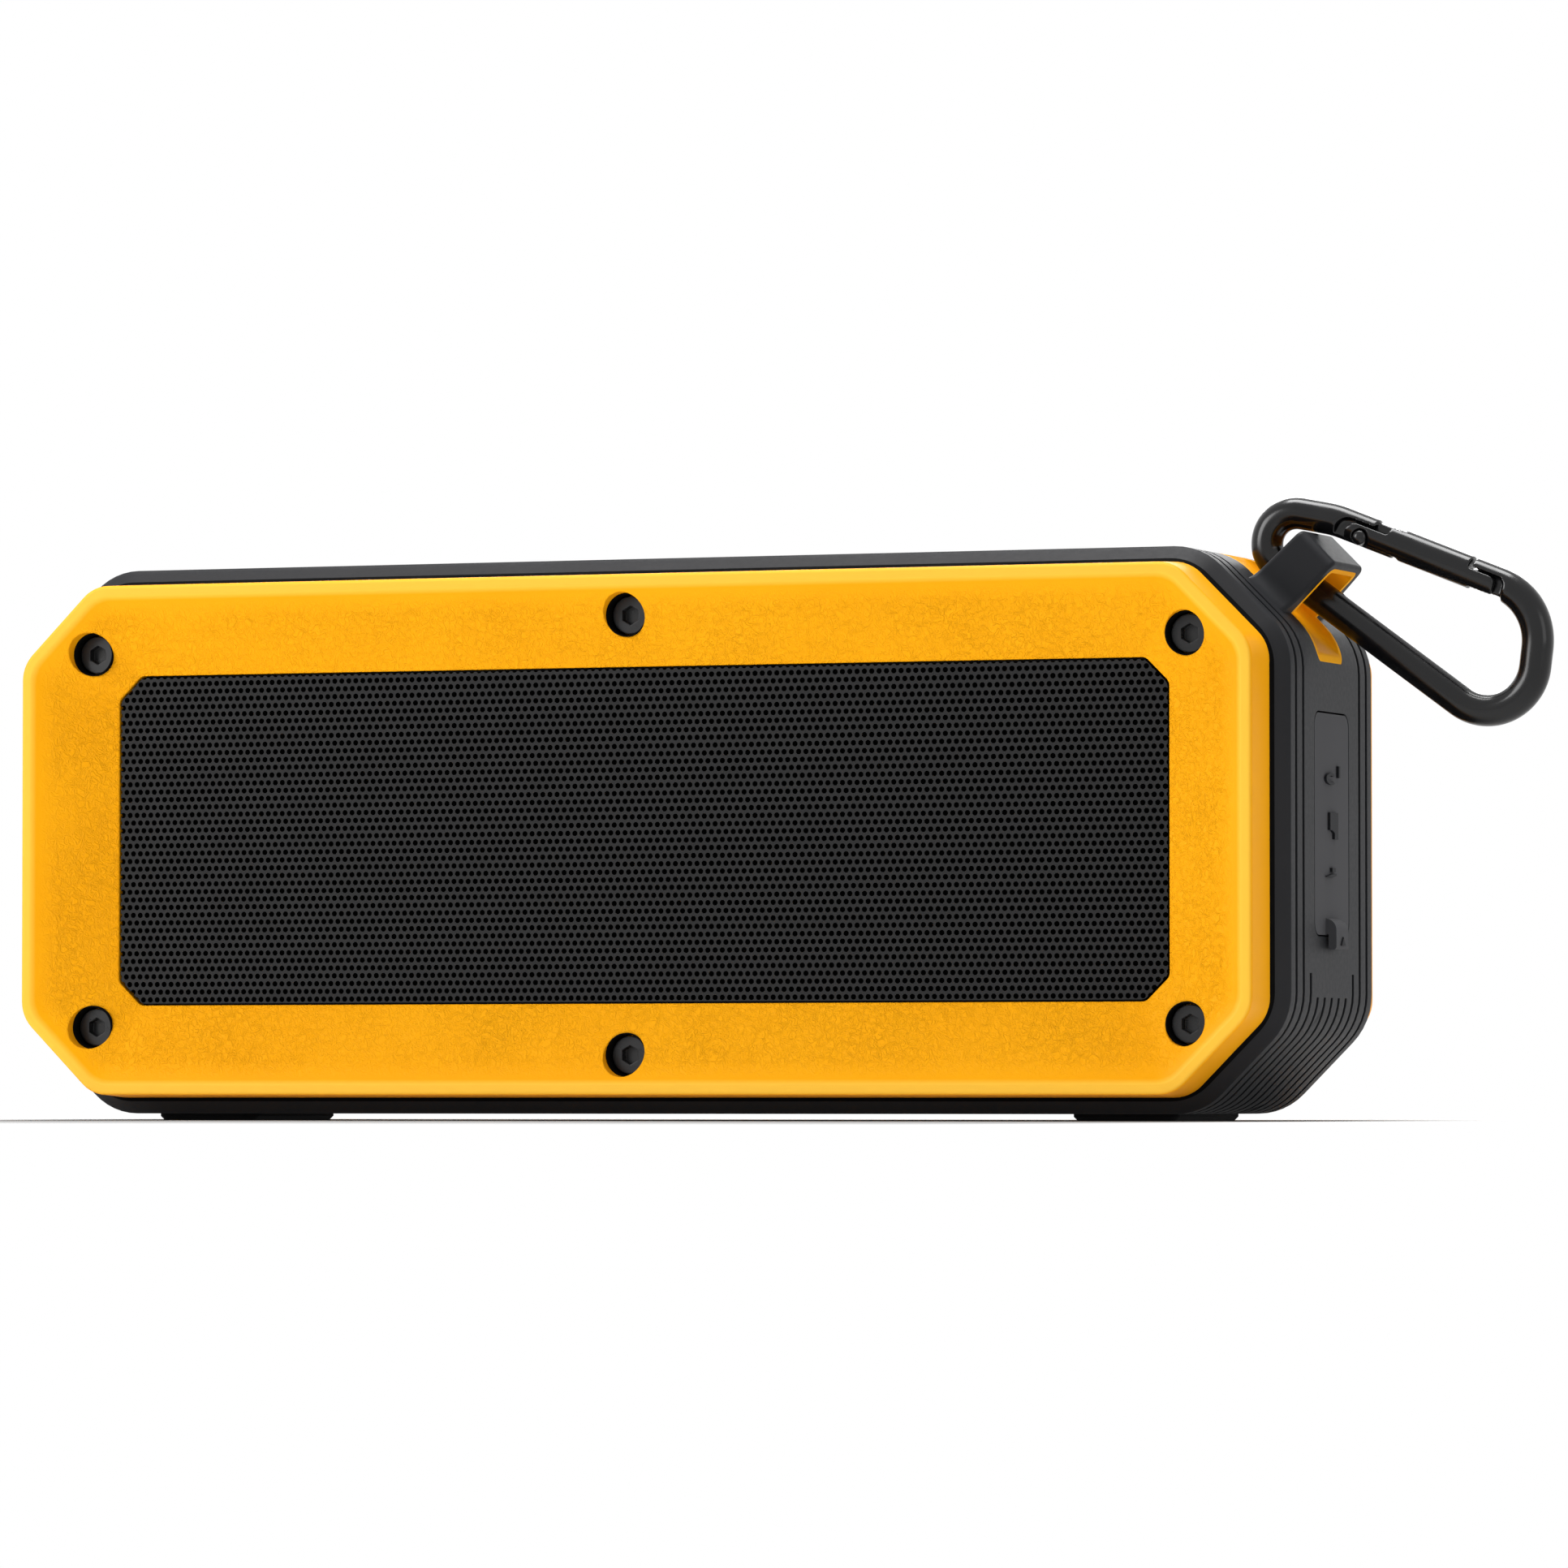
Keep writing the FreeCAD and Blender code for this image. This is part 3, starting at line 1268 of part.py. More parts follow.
def nose_side_cutter(label, low, high):
    """The room under the nose beside its web, for one cheek of the gate's free end."""
    item = body(label)
    corners = [
        ("nose_start - 1", "-rod_dia"),
        ("nose_body", "-rod_dia"),
        ("nose_body", "nose_under", "nose_round"),
        ("nose_start - 1", "nose_under"),
    ]
    drawn = outline(item, label + "_side", "XZ_Plane", f"-({high})", corners)
    pad(item, label + "_pad", drawn, f"({high}) - ({low})")
    return item


def nose_web_cutter():
    """What is taken off round the nose's web, seen from the side."""
    item = body("nose_web_room")
    corners = [
        ("nose_start - 1", "-rod_dia"),
        ("nose_body", "-rod_dia"),
        ("nose_body", "nose_web_low"),
        ("nose_web_start", "nose_web_low", "nose_round"),
        ("nose_web_start", "nose_under"),
        ("nose_start - 1", "nose_under"),
    ]
    drawn = outline(item, "nose_web_room_side", "XZ_Plane", "-rod_dia", corners)
    pad(item, "nose_web_room_pad", drawn, "2 * rod_dia")
    return item


def rivet_rod(label, radius, length):
    item = body(label)
    drawn = circles(item, label + "_end", "XZ_Plane", f"-({length}) / 2", [("rivet_place", "-rivet_depth")], radius)
    pad(item, label + "_pad", drawn, length)
    return item


def carabiner():
    item = ring_bar()
    over = "rod_dia"
    low_side = (f"-{over}", "-web_thickness / 2")
    high_side = ("web_thickness / 2", over)
    tools = [
        local_block("gate_gap", "web_end", "nose_start", f"-{over}", over, f"-{over}", over),
        local_block("web_top_room", "tongue_end", "web_end + 1", f"-{over}", over, "web_top", over),
        hook_side_cutter("near_cheek_room", *low_side),
        hook_side_cutter("far_cheek_room", *high_side),
        nose_side_cutter("near_nose_room", *low_side),
        nose_side_cutter("far_nose_room", *high_side),
        nose_web_cutter(),
        rivet_rod("web_hole", "rivet_dia / 2", "2 * rod_dia"),
    ]
    for number, tool in enumerate(tools, start=1):
        item = cut(f"carabiner_step_{number}", item, tool)
    return node("carabiner", in_hook_frame(item))


def carabiner_gate():
    """A round gate: forked over the web at its pivot, stepped and forked under the nose."""
    round_bar = body("gate_bar")
    end = circles(round_bar, "gate_bar_end", "YZ_Plane", "gate_start", [("0", "0")], "rod_dia / 2")
    pad(round_bar, "gate_bar_pad", end, "gate_end - gate_start")
    shape = body("gate_profile")
    over = "rod_dia"
    corners = [
        ("gate_start", f"-{over}"),
        ("gate_end", f"-{over}"),
        ("gate_end", "gate_step_top", "gate_step_round"),
        ("gate_step", "gate_step_top"),
        ("gate_step", over),
        ("gate_full", over),
        ("gate_full", "gate_cheek_top"),
        ("gate_start", "gate_cheek_top", "gate_cheek_round"),
    ]
    drawn = outline(shape, "gate_outline", "XZ_Plane", f"-{over}", corners)
    pad(shape, "gate_outline_pad", drawn, f"2 * {over}")
    slot_half = "(web_thickness / 2 + gate_slot_play)"
    across = (f"-{slot_half}", slot_half, f"-{over}", over)
    slot = local_block("gate_slot", "gate_start - 1", "gate_slot_end", *across)
    latch = local_block("latch_slot", "latch_slot_start", "gate_end + 1", *across)
    hole = rivet_rod("gate_hole", "rivet_dia / 2 + rivet_play", "2 * rod_dia")
    blank = common("gate_blank", round_bar, shape)
    return node("carabiner_gate", in_hook_frame(cut("carabiner_gate", blank, slot, latch, hole)))


def gate_rivet():
    """A plain rivet with a rounded edge at each end."""
    item = rivet_rod("rivet", "rivet_dia / 2", "rivet_length")
    half = value("rivet_length / 2")
    edges = edges_where(item.Shape, lambda edge: all(abs(abs(v.Y) - half) < 1e-4 for v in edge.Vertexes))
    soften(item, "Fillet", "rivet_edges", item.Tip, edges, "rivet_dia / 2.6")
    return node("gate_rivet", in_hook_frame(item))


# Put the speaker together

envelope = joined("casing_envelope", casing_blank(), lug_block())
tunnel = tunnel_block("lug_tunnel", "0", "30")
casing(envelope, tunnel)
lug_liner(envelope, tunnel)
for which in ("front", "rear"):
    bezel(which)
    grille(which)
    gasket(which)
    screws(which)
    inserts(which)
front_baffle()
rear_baffle()
for which, centre in DRIVER_CENTRES:
    driver(which, centre)
radiator()
battery()
main_board()
ports()
port_flap()
flap_anchor()
foot("left", -1)
foot("right", 1)
for order, word in enumerate(BUTTONS):
    button(order, word)
keypad()
carabiner()
carabiner_gate()
gate_rivet()

doc.recompute()

failed = [item.Name for item in doc.Objects if "Invalid" in item.State or "Error" in item.State]
if failed:
    raise RuntimeError("failed objects: " + ", ".join(failed))
for item in nodes:
    if item.Shape.isNull() or not item.Shape.isValid() or not item.Shape.Solids:
        raise RuntimeError(f"{item.Label} has no valid shape")

os.makedirs("parts", exist_ok=True)
for item in nodes:
    item.Shape.exportStep(f"parts/{item.Label}.step")
print(len(nodes), "sub-parts,", sum(len(item.Shape.Solids) for item in nodes), "solids")
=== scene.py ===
import math

import bmesh
import bpy
from mathutils import Matrix, Vector


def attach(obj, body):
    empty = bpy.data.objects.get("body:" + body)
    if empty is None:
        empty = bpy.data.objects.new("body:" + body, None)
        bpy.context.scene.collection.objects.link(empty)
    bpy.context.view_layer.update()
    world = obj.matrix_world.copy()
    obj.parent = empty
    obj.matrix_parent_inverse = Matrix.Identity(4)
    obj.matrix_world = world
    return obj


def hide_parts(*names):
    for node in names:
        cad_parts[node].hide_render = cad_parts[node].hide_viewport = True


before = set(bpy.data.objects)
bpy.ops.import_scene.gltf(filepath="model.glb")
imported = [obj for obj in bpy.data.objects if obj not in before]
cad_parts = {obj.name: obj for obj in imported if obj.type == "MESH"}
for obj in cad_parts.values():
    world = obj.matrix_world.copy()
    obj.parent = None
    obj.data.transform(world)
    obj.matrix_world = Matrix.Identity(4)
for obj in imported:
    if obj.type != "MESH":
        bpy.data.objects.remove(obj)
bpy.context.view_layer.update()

MM = 0.001

# Sizes of the housing, as in the CAD

MIDDLE_Z = 42.0 * MM
BEZEL_FACE = 29.5 * MM
CASING_HALF_DEPTH = 22.0 * MM
CASING_HALF_LENGTH = 100.0 * MM
CASING_HALF_HEIGHT = 41.0 * MM
CASING_LEG = 13.4 * MM
CASING_CORNER = 10.0 * MM
BEZEL_INSET = 2.4 * MM


# Node helpers

def add(mat, kind, inputs=None, **settings):
    """Add a shader node, with its settings, and its inputs given as numbers or as sockets."""
    item = mat.node_tree.nodes.new("ShaderNode" + kind)
    for name, value in settings.items():
        setattr(item, name, value)
    for name, value in (inputs or {}).items():
        if isinstance(value, bpy.types.NodeSocket):
            mat.node_tree.links.new(value, item.inputs[name])
        else:
            item.inputs[name].default_value = value
    return item


def math_node(mat, operation, a, b=0.0):
    return add(mat, "Math", {0: a, 1: b}, operation=operation).outputs[0]


def new_material(name, colour, roughness, **settings):
    """A principled material with constants on its own sockets."""
    mat = bpy.data.materials.new(name)
    mat.use_nodes = True
    shader = mat.node_tree.nodes["Principled BSDF"]
    shader.inputs["Base Color"].default_value = (*colour, 1.0)
    shader.inputs["Roughness"].default_value = roughness
    for key, value in settings.items():
        shader.inputs[key.replace("_", " ")].default_value = value
    return mat, shader


def object_place(mat):
    return add(mat, "TexCoord").outputs["Object"]


def noise(mat, place, scale, detail=2.0, roughness=0.5, distortion=0.0):
    inputs = {
        "Vector": place, "Scale": scale, "Detail": detail,
        "Roughness": roughness, "Distortion": distortion,
    }
    return add(mat, "TexNoise", inputs).outputs["Fac"]


def ramp(mat, value, low, high, start=0.0, end=1.0):
    """Map a value from low..high to start..end, held at both ends."""
    inputs = {"Value": value, "From Min": low, "From Max": high, "To Min": start, "To Max": end}
    return add(mat, "MapRange", inputs).outputs["Result"]


MOTTLE_LOW = 0.3
MOTTLE_HIGH = 0.7


def mottle(mat, place, scale, detail, start=0.0, end=1.0):
    """Soft patches: the middle band of a noise, mapped to start..end."""
    return ramp(mat, noise(mat, place, scale, detail), MOTTLE_LOW, MOTTLE_HIGH, start, end)


def link(mat, socket, target):
    mat.node_tree.links.new(socket, target)


def typed_socket(sockets, kind, name):
    """A mix node has sockets of one name for every kind of value: pick those of the kind in use."""
    return next(socket for socket in sockets if socket.type == kind and socket.name == name)


def mix(mat, kind, factor, first, second):
    """Mix two values of kind RGBA or VECTOR, given as sockets, or as three numbers for a colour."""
    item = add(mat, "Mix", {"Factor": factor}, data_type=kind)
    for name, value in (("A", first), ("B", second)):
        socket = typed_socket(item.inputs, kind, name)
        if isinstance(value, bpy.types.NodeSocket):
            link(mat, value, socket)
        else:
            socket.default_value = (*value, 1.0)
    return typed_socket(item.outputs, kind, "Result")


def colour_mix(mat, factor, first, second):
    return mix(mat, "RGBA", factor, first, second)


def softened(mat, radius, samples=4):
    """The surface's normal, turned softly over edges within a radius."""
    return add(mat, "Bevel", {"Radius": radius}, samples=samples).outputs["Normal"]


def surface_relief(mat, shader, height, distance, normal=None):
    """Bump the surface by a height, over its own normal or a softened one."""
    inputs = {"Height": height, "Distance": distance}
    if normal is not None:
        inputs["Normal"] = normal
    bump = add(mat, "Bump", inputs)
    link(mat, bump.outputs["Normal"], shader.inputs["Normal"])


# Materials

GRAIN_FADES = 1.5 * MM
GRAIN_GONE = 0.4 * MM
GRAIN_HEIGHT = 0.1 * MM
RING_BEGINS = 0.35 * MM
RING_FULL = 0.05 * MM
RIDGE_WIDTH = 0.12


def bezel_yellow():
    """Yellow plastic: crumpled grain on the sloping faces, a smooth rim painted paler as a
    highlight, smooth sides.
    """
    mat, shader = new_material("bezel_yellow", (0.94, 0.40, 0.003), 0.45, Specular_IOR_Level=0.07)
    place = object_place(mat)
    split = add(mat, "SeparateXYZ", {"Vector": place})
    facing = add(mat, "SeparateXYZ", {"Vector": add(mat, "NewGeometry").outputs["Normal"]})
    depth = math_node(mat, "ABSOLUTE", split.outputs["Y"])
    front = math_node(mat, "ABSOLUTE", facing.outputs["Y"])
    inward = ramp(mat, depth, BEZEL_FACE - GRAIN_FADES, BEZEL_FACE - GRAIN_GONE, 1.0, 0.0)
    mask = math_node(mat, "MULTIPLY", inward, ramp(mat, front, 0.6, 0.8))
    # painted highlight: the rim's front face is mixed towards a paler yellow
    on_ring = ramp(mat, depth, BEZEL_FACE - RING_BEGINS, BEZEL_FACE - RING_FULL)
    ring = math_node(mat, "MULTIPLY", on_ring, ramp(mat, front, 0.35, 0.75))
    fold = noise(mat, place, 1050.0, 3.0, 0.55, 1.1)
    crest = math_node(mat, "ABSOLUTE", math_node(mat, "SUBTRACT", fold, 0.5))
    ridges = ramp(mat, crest, 0.0, RIDGE_WIDTH)
    patches = ramp(mat, noise(mat, place, 70.0, 2.0), 0.35, 0.65, 0.6, 1.0)
    height = math_node(mat, "MULTIPLY", math_node(mat, "MULTIPLY", ridges, mask), patches)
    surface_relief(mat, shader, height, GRAIN_HEIGHT, softened(mat, 0.4 * MM))
    tone = mottle(mat, place, 45.0, 2.0)
    base = colour_mix(mat, tone, (0.93, 0.385, 0.002), (0.955, 0.41, 0.003))
    link(mat, colour_mix(mat, ring, base, (0.97, 0.54, 0.05)), shader.inputs["Base Color"])
    link(mat, ramp(mat, mask, 0.0, 1.0, 0.4, 0.5), shader.inputs["Roughness"])
    return mat


BEVEL_ZONE = 3.0 * MM
BEVEL_ZONE_BLEND = 1.0 * MM


def casing_plastic():
    """Dark grey plastic with a fine grain, its front and rear edges turned in a wide soft round."""
    colour = (0.0145, 0.015, 0.017)
    mat, shader = new_material("casing_plastic", colour, 0.5, Specular_IOR_Level=0.13)
    place = object_place(mat)
    depth = math_node(mat, "ABSOLUTE", add(mat, "SeparateXYZ", {"Vector": place}).outputs["Y"])
    zone = CASING_HALF_DEPTH - BEVEL_ZONE
    near_edge = ramp(mat, depth, zone, zone + BEVEL_ZONE_BLEND)
    crisp = softened(mat, 0.25 * MM)
    wide = softened(mat, 1.3 * MM, samples=8)
    turned = mix(mat, "VECTOR", near_edge, crisp, wide)
    surface_relief(mat, shader, noise(mat, place, 5200.0, 2.0, 0.6), 0.01 * MM, turned)
    tone = mottle(mat, place, 60.0, 3.0)
    base = colour_mix(mat, tone, (0.0135, 0.014, 0.016), (0.0155, 0.016, 0.018))
    link(mat, base, shader.inputs["Base Color"])
    link(mat, mottle(mat, place, 1400.0, 2.0, 0.48, 0.54), shader.inputs["Roughness"])
    return mat


def grille_metal():
    """Powder-coated sheet: satin black with a faint orange peel."""
    colour = (0.0135, 0.0135, 0.014)
    mat, shader = new_material("grille_metal", colour, 0.5, Specular_IOR_Level=0.16)
    place = object_place(mat)
    surface_relief(mat, shader, noise(mat, place, 2600.0, 2.0), 0.01 * MM)
    link(mat, mottle(mat, place, 300.0, 2.0, 0.48, 0.6), shader.inputs["Roughness"])
    return mat


def black_and_painted_shade():
    """Deep black: the real black of the backing cloth and the screw sleeves, and painted shade on
    the grille's hole walls and on the strip between casing and bezel.
    """
    mat, shader = new_material("black_and_painted_shade", (0.0015, 0.0015, 0.0016), 0.8, Specular_IOR_Level=0.05)
    place = object_place(mat)
    surface_relief(mat, shader, noise(mat, place, 2400.0, 2.0), 0.02 * MM)
    tone = mottle(mat, place, 500.0, 2.0)
    base = colour_mix(mat, tone, (0.001, 0.001, 0.001), (0.002, 0.002, 0.002))
    link(mat, base, shader.inputs["Base Color"])
    return mat


def black_oxide():
    """Blackened steel of the screws."""
    mat, shader = new_material("black_oxide", (0.007, 0.007, 0.0075), 0.3, Specular_IOR_Level=0.35)
    place = object_place(mat)
    soft = softened(mat, 0.25 * MM)
    surface_relief(mat, shader, noise(mat, place, 3000.0, 2.0), 0.004 * MM, soft)
    link(mat, mottle(mat, place, 700.0, 2.0, 0.26, 0.36), shader.inputs["Roughness"])
    return mat


def gloss_black():
    """Gloss black anodised coat of the carabiner."""
    mat, shader = new_material("gloss_black", (0.003, 0.003, 0.0034), 0.2, Specular_IOR_Level=0.35)
    place = object_place(mat)
    surface_relief(mat, shader, noise(mat, place, 900.0, 2.0), 0.001 * MM)
    link(mat, mottle(mat, place, 260.0, 3.0, 0.17, 0.25), shader.inputs["Roughness"])
    return mat


RUBBER_DARKER = 0.86


def rubber(name, colour, roughness):
    """Moulded rubber with a fine matt grain."""
    mat, shader = new_material(name, colour, roughness, Specular_IOR_Level=0.11)
    place = object_place(mat)
    soft = softened(mat, 0.2 * MM)
    surface_relief(mat, shader, noise(mat, place, 4200.0, 2.0, 0.6), 0.012 * MM, soft)
    darker = tuple(RUBBER_DARKER * part for part in colour)
    tone = mottle(mat, place, 90.0, 3.0)
    link(mat, colour_mix(mat, tone, darker, colour), shader.inputs["Base Color"])
    return mat


LINER_HALF_WIDTH = 6.2 * MM
LINER_BORDER = 0.8 * MM
LINER_END = 67.7 * MM
LINER_BLEND = 0.1 * MM


def liner_rubber():
    """Yellow rubber of the tunnel's lining, with a painted highlight: paler along its border than
    on its recessed floor.
    """
    mat, shader = new_material("liner_rubber", (0.9, 0.36, 0.003), 0.6, Specular_IOR_Level=0.03)
    place = object_place(mat)
    soft = softened(mat, 0.25 * MM)
    surface_relief(mat, shader, noise(mat, place, 3000.0, 2.0, 0.6), 0.012 * MM, soft)
    split = add(mat, "SeparateXYZ", {"Vector": place})
    aside = math_node(mat, "ABSOLUTE", split.outputs["Y"])
    inner = LINER_HALF_WIDTH - LINER_BORDER
    # painted highlight: the border, lit beside the shaded recess, is mixed towards a paler yellow
    side = ramp(mat, aside, inner - LINER_BLEND, inner + LINER_BLEND)
    low, high = LINER_END - LINER_BLEND, LINER_END + LINER_BLEND
    end = ramp(mat, split.outputs["Z"], low, high, 1.0, 0.0)
    painted_lit_border = math_node(mat, "MAXIMUM", side, end)
    tone = mottle(mat, place, 90.0, 3.0)
    floor = colour_mix(mat, tone, (0.84, 0.34, 0.003), (0.9, 0.37, 0.003))
    link(mat, colour_mix(mat, painted_lit_border, floor, (0.95, 0.42, 0.006)), shader.inputs["Base Color"])
    return mat


PLAIN_LIGHTER = 1.12


def plain(name, colour, roughness, metallic=0.0, grain=900.0):
    """Inner pieces: an even colour with a little variation and a fine grain."""
    mat, shader = new_material(name, colour, roughness, Metallic=metallic)
    place = object_place(mat)
    surface_relief(mat, shader, noise(mat, place, grain, 2.0), 0.01 * MM)
    lighter = tuple(PLAIN_LIGHTER * part for part in colour)
    tone = mottle(mat, place, 120.0, 2.0)
    link(mat, colour_mix(mat, tone, colour, lighter), shader.inputs["Base Color"])
    return mat


def circuit_board():
    """Green solder mask with fine tracks."""
    mask_green = (0.012, 0.09, 0.035)
    track_green = (0.03, 0.16, 0.06)
    mat, shader = new_material("circuit_board", mask_green, 0.35)
    place = object_place(mat)
    pattern = {"Vector": place, "Scale": 160.0, "Mortar Size": 0.03, "Mortar Smooth": 0.1}
    tracks = add(mat, "TexBrick", pattern)
    base = colour_mix(mat, tracks.outputs["Fac"], mask_green, track_green)
    link(mat, base, shader.inputs["Base Color"])
    return mat


YELLOW = bezel_yellow()
CASING = casing_plastic()
GRILLE = grille_metal()
BLACK_AND_SHADE = black_and_painted_shade()
OXIDE = black_oxide()
GLOSS = gloss_black()
FLAP = rubber("flap_rubber", (0.0092, 0.0096, 0.0115), 0.56)
FOOT = rubber("foot_rubber", (0.017, 0.017, 0.0175), 0.7)
LINER = liner_rubber()
BUTTON = rubber("button_rubber", (0.014, 0.0145, 0.016), 0.6)
GASKET = rubber("gasket_foam", (0.02, 0.02, 0.021), 0.85)
SURROUND = rubber("surround_rubber", (0.018, 0.018, 0.018), 0.5)
BAFFLE = plain("baffle_plastic", (0.02, 0.02, 0.021), 0.6)
BRASS = plain("insert_brass", (0.6, 0.42, 0.16), 0.3, 1.0)
STEEL = plain("socket_steel", (0.55, 0.55, 0.57), 0.28, 1.0)
CELL = plain("cell_sleeve", (0.04, 0.13, 0.33), 0.35)
FERRITE = plain("magnet_ferrite", (0.05, 0.05, 0.053), 0.7)
CONE = plain("cone_paper", (0.03, 0.03, 0.031), 0.8, grain=2400.0)
BASKET = plain("basket_steel", (0.025, 0.025, 0.026), 0.45)
WEIGHT = plain("weight_steel", (0.2, 0.2, 0.21), 0.4, 1.0)
PORT = plain("port_plastic", (0.012, 0.012, 0.013), 0.3)
BOARD = circuit_board()

NODE_MATERIALS = {
    "casing": CASING,
    "front_bezel": YELLOW,
    "rear_bezel": YELLOW,
    "front_screws": OXIDE,
    "rear_screws": OXIDE,
    "foot_left": FOOT,
    "foot_right": FOOT,
    "lug_liner": LINER,
    "flap_anchor": FLAP,
    "carabiner": GLOSS,
    "carabiner_gate": GLOSS,
    "gate_rivet": GLOSS,
    "front_gasket": GASKET,
    "rear_gasket": GASKET,
    "front_baffle": BAFFLE,
    "rear_baffle": BAFFLE,
    "front_inserts": BRASS,
    "rear_inserts": BRASS,
    "main_board": BOARD,
    "keypad_board": BOARD,
    "board_screws": OXIDE,
    "battery_cells": CELL,
    "battery_tray": BAFFLE,
    "port_plate": PORT,
    "aux_socket": PORT,
    "button_switches": PORT,
    "usb_socket": STEEL,
    "card_socket": STEEL,
    "radiator_frame": BAFFLE,
    "radiator_surround": SURROUND,
    "radiator_plate": WEIGHT,
    "left_driver_basket": BASKET,
    "right_driver_basket": BASKET,
    "left_driver_magnet": FERRITE,
    "right_driver_magnet": FERRITE,
    "left_driver_cone": CONE,
    "right_driver_cone": CONE,
    "left_driver_surround": SURROUND,
    "right_driver_surround": SURROUND,
    "power_button": BUTTON,
    "volume_down_button": BUTTON,
    "play_button": BUTTON,
    "volume_up_button": BUTTON,
    "pairing_button": BUTTON,
}

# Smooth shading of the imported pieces

FLAT_FACED = ("front_bezel", "rear_bezel")
FLAT_FACED_LIMIT = 14
ROUNDED_LIMIT = 32
WELD_DISTANCE = 0.001 * MM


def smooth_by_angle(limit):
    """A node group that shades smoothly over edges that turn by up to a limit in degrees."""
    group = bpy.data.node_groups.new(f"smooth_below_{limit}", "GeometryNodeTree")
    group.interface.new_socket("Geometry", in_out="INPUT", socket_type="NodeSocketGeometry")
    group.interface.new_socket("Geometry", in_out="OUTPUT", socket_type="NodeSocketGeometry")
    start = group.nodes.new("NodeGroupInput")
    angle = group.nodes.new("GeometryNodeInputMeshEdgeAngle")
    gentle = group.nodes.new("FunctionNodeCompare")
    gentle.operation = "LESS_EQUAL"
    gentle.inputs[1].default_value = math.radians(limit)
    faces = group.nodes.new("GeometryNodeSetShadeSmooth")
    faces.domain = "FACE"
    edges = group.nodes.new("GeometryNodeSetShadeSmooth")
    edges.domain = "EDGE"
    end = group.nodes.new("NodeGroupOutput")
    group.links.new(start.outputs[0], faces.inputs["Geometry"])
    group.links.new(faces.outputs[0], edges.inputs["Geometry"])
    group.links.new(angle.outputs["Unsigned Angle"], gentle.inputs[0])
    group.links.new(gentle.outputs[0], edges.inputs["Shade Smooth"])
    group.links.new(edges.outputs[0], end.inputs[0])
    return group


def dress_nodes():
    """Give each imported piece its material, and shade its curved faces smoothly."""
    rounded = smooth_by_angle(ROUNDED_LIMIT)
    crisp = smooth_by_angle(FLAT_FACED_LIMIT)
    for name, material in NODE_MATERIALS.items():
        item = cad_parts[name]
        item.data.materials.clear()
        item.data.materials.append(material)
        item.modifiers.new("weld", "WELD").merge_threshold = WELD_DISTANCE
        item.modifiers.new("smooth", "NODES").node_group = crisp if name in FLAT_FACED else rounded
        item.modifiers.new("weighted", "WEIGHTED_NORMAL").keep_sharp = True


# Meshes

def from_bmesh(name, bm, material, smooth=False):
    mesh = bpy.data.meshes.new(name)
    bm.to_mesh(mesh)
    bm.free()
    for face in mesh.polygons:
        face.use_smooth = smooth
    item = bpy.data.objects.new(name, mesh)
    bpy.context.scene.collection.objects.link(item)
    mesh.materials.append(material)
    return item


def rounded_corners(corners, radius, steps=6):
    """Points round a polygon of (x, y) corners, with each corner turned by an arc."""
    points = []
    count = len(corners)
    for i, corner in enumerate(corners):
        here = Vector(corner)
        back = (Vector(corners[i - 1]) - here).normalized()
        ahead = (Vector(corners[(i + 1) % count]) - here).normalized()
        half = back.angle(ahead) / 2
        middle = here + (back + ahead).normalized() * radius / math.sin(half)
        start = here + back * radius / math.tan(half) - middle
        sweep = math.pi - 2 * half
        sign = 1 if start.x * ahead.y - start.y * ahead.x > 0 else -1
        for k in range(steps + 1):
            turn = Matrix.Rotation(sign * sweep * k / steps, 2)
            points.append(middle + turn @ start)
    return points


def octagon(x, z, leg):
    """Corners of an octagon with half sizes x and z, its corners cut by a leg."""
    return [
        (x, -z + leg), (x, z - leg), (x - leg, z), (-x + leg, z),
        (-x, z - leg), (-x, -z + leg), (-x + leg, -z), (x - leg, -z),
    ]


def face_side(bm, side):
    """Leave a front mesh where it is, and turn a rear one half round."""
    if side == "rear":
        bmesh.ops.rotate(bm, verts=bm.verts, matrix=Matrix.Rotation(math.pi, 3, "Z"))
    return bm


def raised_shapes(name, shapes, lift, material):
    """Thin raised shapes: flat outlines of 3-D points, each grown by a lift."""
    bm = bmesh.new()
    for points in shapes:
        face = bm.faces.new([bm.verts.new(point) for point in points])
        grown = bmesh.ops.extrude_face_region(bm, geom=[face])
        moved = [v for v in grown["geom"] if isinstance(v, bmesh.types.BMVert)]
        bmesh.ops.translate(bm, verts=moved, vec=lift)
    bmesh.ops.recalc_face_normals(bm, faces=bm.faces)
    return from_bmesh(name, bm, material)


# Carabiner: finely meshed copies, so that its bars are round and its edges softly broken

FINE_MESH = 0.2 * MM
SMOOTHING = 0.5
BAR_PIECES = (
    ("carabiner", "carabiner", "carabiner_black", 12),
    ("carabiner_gate", "carabiner_gate", "carabiner_black", 6),
    ("gate_rivet", "carabiner", "rivet_black", 3),
)


def smooth_bar(node, rounds):
    """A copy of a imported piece, meshed evenly and smoothed for some rounds."""
    item = bpy.data.objects.new(f"{node}_smooth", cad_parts[node].data.copy())
    bpy.context.scene.collection.objects.link(item)
    item.modifiers.new("weld", "WELD").merge_threshold = WELD_DISTANCE
    fine = item.modifiers.new("fine", "REMESH")
    fine.mode = "VOXEL"
    fine.voxel_size = FINE_MESH
    even = item.modifiers.new("even", "SMOOTH")
    even.factor = SMOOTHING
    even.iterations = rounds
    shaped = item.evaluated_get(bpy.context.evaluated_depsgraph_get())
    mesh = bpy.data.meshes.new_from_object(shaped)
    item.modifiers.clear()
    item.data = mesh
    for face in mesh.polygons:
        face.use_smooth = True
    mesh.materials.clear()
    mesh.materials.append(GLOSS)
    return item


def carabiner_pieces():
    for node, body, slot, rounds in BAR_PIECES:
        piece = smooth_bar(node, rounds)
        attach(piece, body)
        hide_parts(node)


# Perforated grilles

